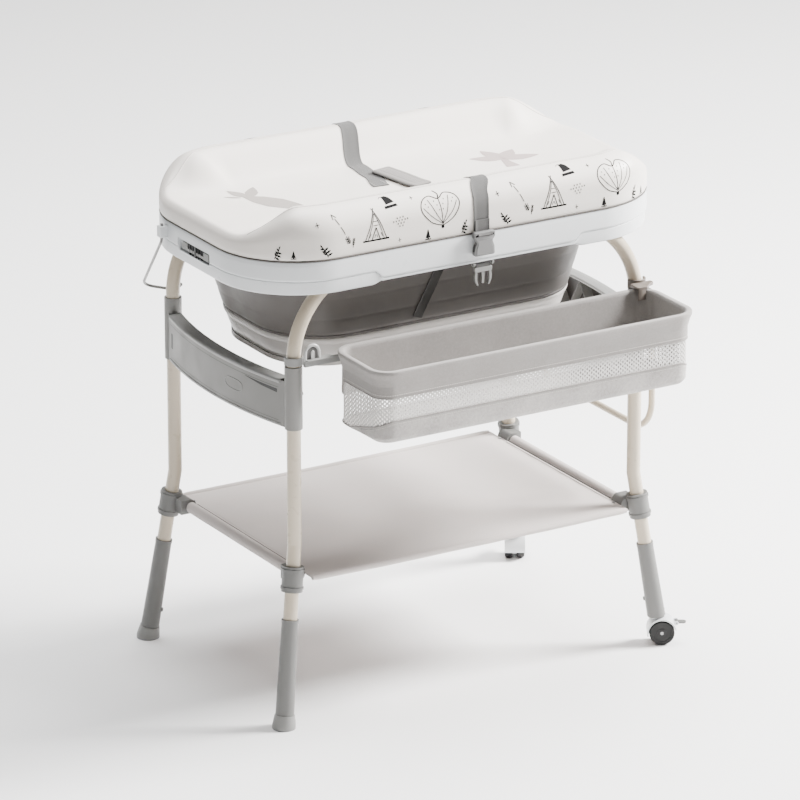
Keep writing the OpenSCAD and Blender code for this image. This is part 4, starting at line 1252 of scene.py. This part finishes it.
def basket():
    band = piece("basket_rim_band", round_basket(band_profile), "basket", basket_cloth, "basket_fabric",
                 ["basket_band", "basket_hoop"], 60)

    vertices, faces, uvs = round_basket(net_profile)
    # The net's cells keep their size where it is narrow: their second coordinate is the real height.
    uvs = [tuple((uv[0], vertices[i].z) for uv, i in zip(corners, face)) for corners, face in zip(uvs, faces)]
    side = piece("basket_net_side", (vertices, faces, uvs), "basket", basket_net, "basket_mesh",
                 ["basket_mesh"], 60)

    shape = round_basket(tray_profile)
    body = piece("basket_tray_cloth", shape, "basket", melange_cloth, "basket_fabric", ["basket_tray"], 60)
    xs, ys = [(middle - size / 2 + FLOOR_INSET, middle + size / 2 - FLOOR_INSET)
              for middle, size in zip(BASKET_AT, BASKET)]
    bottom = box_mesh(xs, ys, (BASKET_LOW + 0.2, BASKET_LOW + 3.2))
    piece("basket_floor_cloth", bottom, "basket", melange_cloth, "basket_fabric", (), 60)


def basket_edges():
    """Bindings along the tray's top and the band's foot, and the stitches beside them."""
    loop = loop_points(*BASKET, (80, 20), 12)
    loop += loop[:1]

    def round_at(d, height):
        return [(Vector((BASKET_AT[0] + x + nx * d, BASKET_AT[1] + y + ny * d, height(x, y))),
                 Vector((nx, ny, 0)))
                for x, y, nx, ny in loop]

    bound = []
    for d, r, height in ((-9.0, 1.2, tray_edge), (-8.0, 1.0, lambda x, y: band_low(x, y) + 0.8)):
        ring = [at(*p) for p, _ in round_at(d, height)]
        bound.append(tube_mesh(ring + ring[1:2], r, 8, caps=False))
    piece("basket_bindings", merged(bound), "basket", binding_cloth, "basket_fabric")
    runs = []
    for d, height in ((-7.4, lambda x, y: band_low(x, y) + 6.5), (-8.6, lambda x, y: tray_edge(x, y) - 5)):
        run = [(p, n) for p, n in round_at(d, height) if p.z > BASKET_LOW + 12]
        runs.append(stitch_line([p for p, _ in run], [n for _, n in run], 2.8, 1.6, 0.4, 0.35))
    piece("basket_stitches", merged(runs), "basket", seam_thread, "basket_fabric")


basket()
basket_edges()


# ---- basket hooks ----

LEG_X, LEG_Y = 350, -215        # the front legs, where the hooks hold them
HOOK_Z = 660
CLIP_BORE = 14.2
ARM_Y = -233.6
BASKET_END_X = BASKET_AT[0] - BASKET[0] / 2


def clip_outline(x0, y0, outer, start, sweep):
    """Outline of a clip that holds a leg from the front and is open at the back."""
    turns = [math.radians(start + sweep * k / 32) for k in range(33)]
    return [(x0 + r * math.cos(a), y0 + r * math.sin(a))
            for r, way in ((CLIP_BORE, turns), (outer, turns[::-1]))
            for a in way]


def left_hook():
    """A clip round the leg, an arm with a flat top and an upright loop over it."""
    x0, z0 = -LEG_X, HOOK_Z
    arm = oblong(x0 + 8, ARM_Y - 8, BASKET_END_X + 52, ARM_Y, 2, 3)
    lip = oblong(x0 + 10, ARM_Y - 12, BASKET_END_X + 1, ARM_Y + 4, 3, 3)
    parts = [plate_mesh(clip_outline(x0, LEG_Y, 17.4, 170, 200), z0 - 3, z0 + 11, at),
             plate_mesh(arm, z0 - 4, z0 + 7, at), plate_mesh(lip, z0 + 6.6, z0 + 9, at)]
    piece("basket_hook_arm", merged(parts), "basket", plastic_pale_grey, "plastic_pale_grey",
          ["basket_bracket_left"], edge=(0.9, 3))
    loop_x, loop_z, loop_r = x0 + 24, z0 + 20, 13.5
    turns = [math.radians(k) for k in range(0, 181, 12)]

    def arch(r, foot_z):
        bow = [(loop_x - r * math.cos(a), loop_z + r * math.sin(a)) for a in turns]
        return [(loop_x - r, foot_z), *bow, (loop_x + r, foot_z)]

    path = [at(x, ARM_Y - 4, z) for x, z in arch(loop_r, z0 + 6)]
    piece("basket_hook_loop", tube_mesh(path, 3.0, 16), "basket", bright_wire, "plastic_pale_grey")
    web = arch(loop_r - 2.8, z0 + 8)
    slot = [(loop_x + 3.2 * x, z0 + 17 + 8 * z) for x, z in ((-1, -1), (1, -1), (1, 0.7), (0, 1), (-1, 0.7))]
    for name, edge, low, high, look, width in (("web", web, 5.4, 2.6, hook_grey, 0.4),
                                               ("tab", slot, 7.4, 5.2, bright_wire, 0.5)):
        plate = plate_mesh(edge, ARM_Y - low, ARM_Y - high, upright)
        piece(f"basket_hook_{name}", plate, "basket", look, "plastic_pale_grey", edge=(width, 2))


def right_hook():
    """A half-round clip on the front of the leg, hooked over the band's back edge."""
    x0, y0 = LEG_X, LEG_Y
    over = outline([(x0 - 22, y0 - 41, 4), (x0 - 2, y0 - 41, 4), (x0 + 10, y0 - 30, 6), (x0 + 21, y0 - 25, 4),
                    (x0 + 21, y0 - 14.8, 3), (x0 - 22, y0 - 14.8, 3)])
    tongue = oblong(x0 - 21, y0 - 41, x0 - 5, y0 - 38.4, 1, 2)
    parts = [plate_mesh(clip_outline(x0, y0, 17.6, 175, 190), 676.2, 693, at),
             plate_mesh(over, 683.2, 689, at), plate_mesh(tongue, 664, 684, at)]
    piece("basket_hook_right", merged(parts), "basket", plastic_brown_grey, "plastic_pale_grey",
          edge=(0.9, 3))


left_hook()
right_hook()


# ---- end plates ----

PLATE_BULGE = 28
PLATE_FACE = 362
PLATE_HALF = 215
PLATE_R = (PLATE_HALF ** 2 + PLATE_BULGE ** 2) / (2 * PLATE_BULGE)
PLATE_LOW, PLATE_TOP = 541, 625
PLATE_END_Y = 198
# Sections are (inset from the outer face, z) points.
TOP_EDGE = outline([(0.4, PLATE_TOP - 7, 0.5), (-1.8, PLATE_TOP - 5, 1.5), (-2.0, PLATE_TOP - 1, 2),
                    (0, PLATE_TOP + 1.6, 2), (8, PLATE_TOP + 1.9, 3), (22, PLATE_TOP + 1.2, 1.5),
                    (25, PLATE_TOP - 0.5, 1), (24, PLATE_TOP - 3, 0), (2, PLATE_TOP - 3, 0)], 3)
LOW_EDGE = outline([(0.5, PLATE_LOW - 0.3, 0.5), (-1.3, PLATE_LOW + 0.6, 1), (-1.3, PLATE_LOW + 4.4, 1.2),
                    (0.5, PLATE_LOW + 5.6, 0.5), (2, PLATE_LOW + 3, 0)], 3)


def plate_x(y, inset=0.0):
    return PLATE_FACE + PLATE_BULGE - PLATE_R + math.sqrt((PLATE_R - inset) ** 2 - y * y)


def plate_strip(side, section, count=56):
    """A closed section carried along an end plate's curve."""
    rings = [[at(side * plate_x(y, inset), y, z) for inset, z in section]
             for y in (-PLATE_END_Y + 2 * PLATE_END_Y * i / count for i in range(count + 1))]
    return loft(rings, caps=True)


def bowed(v, power):
    return math.copysign(abs(v) ** power, v)


def end_plate_trim(side, word):
    """The rounded edges and plain badge of an end plate, in a lighter grey as a painted highlight, and its
    border grooves and slots as dark strokes of painted shade.
    """
    def place(y, z, lift=0.25):
        return at(side * (plate_x(y) + lift), y, z)

    # the edge strips and the badge are painted lighter, as a highlight
    for name, section in (("top", TOP_EDGE), ("low", LOW_EDGE)):
        piece(f"end_plate_{name}_edge_{word}", plate_strip(side, section), "stand", plastic_edge_highlight,
              "plastic_grey")
    # grooves and slots are dark strokes: painted shade in the grooves and the slot, and a painted shadow
    # under the top lip
    groove_shades = [stroke([(-193, 611), (-100, 611), (0, 611), (100, 611), (193, 611)], [0.9] * 5, place, 6),
               stroke([(-193, 551), (0, 551), (193, 551)], [0.7] * 3, place, 6)]
    slot_shades = [stroke([(-190, 604), (-150, 605.5), (-104, 609)], [7, 5, 0.6], place, 4),
             stroke([(184, 568), (184, 596)], [9, 9], place, 4)]
    piece(f"end_plate_groove_shades_{word}", merged(groove_shades), "stand", groove_shade_grey, "plastic_grey", sharp=180)
    piece(f"end_plate_slot_shades_{word}", merged(slot_shades), "stand", plastic_dark, "plastic_grey", sharp=180)
    badge = [place(-70 + 26 * bowed(math.cos(a), 0.6), 583 + 10 * bowed(math.sin(a), 0.8), 0)
             for a in (math.tau * k / 48 for k in range(50))]
    piece(f"end_plate_badge_{word}", tube_mesh(badge, 0.7, 8, caps=False), "stand", plastic_edge_highlight,
          "plastic_grey")


end_plate_trim(-1, "left")
end_plate_trim(1, "right")


# ---- wire hanger ----

WIRE_WAY = [Vector(p) for p in ((-433, 100, 836), (-433, 100, 806), (-386, 262, 668), (-326, 245.1, 653),
                                (-319, 243, 662))]
WIRE_R, WIRE_BEND = 2.6, 24
TIP_AT, TIP_R = (-319, 243, 662.4), 3.6


def wire_hanger():
    """One bent wire: a pin up in its boss, the slanting arm and the hooked foot with its knob."""
    route = [WIRE_WAY[0]]
    for before, corner, after in zip(WIRE_WAY, WIRE_WAY[1:], WIRE_WAY[2:]):
        back, on = before - corner, after - corner
        route += turned_corner(corner, back, on, min(WIRE_BEND, 0.45 * back.length, 0.45 * on.length), 10)
    route.append(WIRE_WAY[-1])
    piece("hanger_wire", tube_mesh([at(*p) for p in route], WIRE_R, 16), "wire_hanger", steel_wire,
          "steel_wire", ["wire_hanger"])
    rings = []
    for a in (math.radians(k) for k in range(10, 171, 20)):
        r, z = TIP_R * math.sin(a), TIP_AT[2] + TIP_R * math.cos(a)
        rings.append([at(TIP_AT[0] + r * math.cos(b), TIP_AT[1] + r * math.sin(b), z)
                      for b in (math.tau * k / 12 for k in range(12))])
    end = piece("hanger_tip", loft(rings), "wire_hanger", plastic_grey, "steel_wire")
    close_and_weld(end, 0.00001)


wire_hanger()


# ---- shelf ----

SHELF_Z = 264
SHELF_X, SHELF_Y = 326, 236
SHELF_RAIL_X, POCKET_Y = 340, 174
SHELF_CELLS = (72, 60)


def shelf_sag(x, y):
    """How far the stretched cloth hangs below its rails, with the faint waves of its pull."""
    across = 1 - (abs(x) / SHELF_RAIL_X) ** 2
    pull = 0.7 * wobble(x / 120, y / 45, 4) + 0.3 * wobble(x / 40, y / 24, 8)
    return -3.2 * max(0, across) * (1 - 0.5 * (abs(y) / SHELF_Y) ** 2) + pull * 0.8


def shelf_panel():
    """The cloth: an upper and a lower face, joined round their border."""
    nx, ny = SHELF_CELLS
    row, size = nx + 1, (nx + 1) * (ny + 1)
    places = [(SHELF_X * (2 * i / nx - 1), SHELF_Y * (2 * j / ny - 1)) for j in range(ny + 1)
              for i in range(nx + 1)]
    vertices = [at(x, y, SHELF_Z + rise + shelf_sag(x, y)) for rise in (1.5, -1.5) for x, y in places]
    corners = [face * size + j * row + i for face in (0, 1) for j in range(ny) for i in range(nx)]
    faces = [(k, k + 1, k + row + 1, k + row) for k in corners]
    uvs = [tuple((vertices[k].x, vertices[k].y) for k in face) for face in faces]
    border = [(i, 0) for i in range(nx)] + [(nx, j) for j in range(ny)]
    border += [(i, ny) for i in range(nx, 0, -1)] + [(0, j) for j in range(ny, 0, -1)]
    border = [j * row + i for i, j in border]
    faces += [(a, b, b + size, a + size) for a, b in zip(border, border[1:] + border[:1])]
    uvs += [patch(0, 0.005, 0, 0.003)] * len(border)
    shape = vertices, faces, uvs
    cloth = piece("shelf_cloth_panel", shape, "stand", shelf_cloth, "shelf_fabric", ["shelf_panel"], 50)


def shelf_edges():
    """Rolled hems front and back, pockets round the rails, their bindings and the stitches beside them."""
    hems, edges, rows = [], [], []
    for s in (-1, 1):
        path = [at(x, s * (SHELF_Y - 1), SHELF_Z + shelf_sag(x, s * SHELF_Y))
                for x in range(-SHELF_X, SHELF_X + 1, 12)]
        radii = [5.6 + 0.35 * wobble(p.x * 12, p.y * 9, 2) for p in path]
        radii[0] = radii[-1] = 4.6
        hems.append(tube_mesh(path, radii, 16))
        rows.append([(x, s * (SHELF_Y - 12)) for x in range(-SHELF_X + 6, SHELF_X - 5, 12)])
    for s in (-1, 1):
        path = [at(s * SHELF_RAIL_X, y, SHELF_Z) for y in range(-POCKET_Y, POCKET_Y + 1, 12)]
        hems.append(tube_mesh(path, [10.2 + 0.3 * wobble(p.y * 14, p.x * 3, 5) for p in path], 24))
        hems.append(box_mesh(sorted((s * 322, s * 338)), (-POCKET_Y, POCKET_Y),
                             (SHELF_Z - 2.4, SHELF_Z + 2.4)))
        path = [at(s * 327.5, y, SHELF_Z + 2.6) for y in range(-POCKET_Y, POCKET_Y + 1, 12)]
        edges.append(tube_mesh(path, 1.7, 10))
        rows.append([(s * 318, y) for y in range(-POCKET_Y, POCKET_Y, 12)])
    piece("shelf_hems", merged(hems), "stand", shelf_cloth, "shelf_fabric")
    piece("shelf_edge_bindings", merged(edges), "stand", dark_binding, "shelf_fabric")
    runs = []
    for row in rows:
        run = [Vector((x, y, SHELF_Z + 1.6 + shelf_sag(x, y))) for x, y in row]
        runs.append(stitch_line(run, [Vector((0, 0, 1))] * len(run), 3.2, 1.8, 0.45, 0.4))
    piece("shelf_stitches", merged(runs), "stand", seam_thread, "shelf_fabric")


shelf_panel()
shelf_edges()


# ---- frame nodes that keep their own shape ----

NODE_LOOKS = {
    "steel_cream": steel_cream,
    "steel_wire": steel_wire,
    "steel_screw": steel_screw,
    "plastic_grey": plastic_grey,
    "plastic_pale_grey": plastic_pale_grey,
    "plastic_white": plastic_white,
    "plastic_light": plastic_light,
    "plastic_dark": plastic_dark,
    "tub_rubber": tub_rubber,
    "plug_rubber": plug_rubber,
    "wheel_black": wheel_black,
    "board": board_fibre,
    "mat_vinyl": mat_vinyl,
    "strap_webbing": grey_webbing,
    "basket_fabric": basket_cloth,
    "basket_mesh": basket_net,
    "shelf_fabric": shelf_cloth,
}
SPECIAL_LOOKS = {
    "end_plate_left": plate_grey_inner_shade,
    "end_plate_right": plate_grey_inner_shade,
    "foot_pad_fl": plastic_pale_grey,
    "foot_pad_bl": plastic_pale_grey,
    "hanger_boss": plastic_white,
}

for entry in frame["record"]["subparts"]:
    node = frame["nodes"][entry["node"]]
    node.data.materials.clear()
    node.data.materials.append(SPECIAL_LOOKS.get(entry["node"], NODE_LOOKS[entry["material_slot"]]))
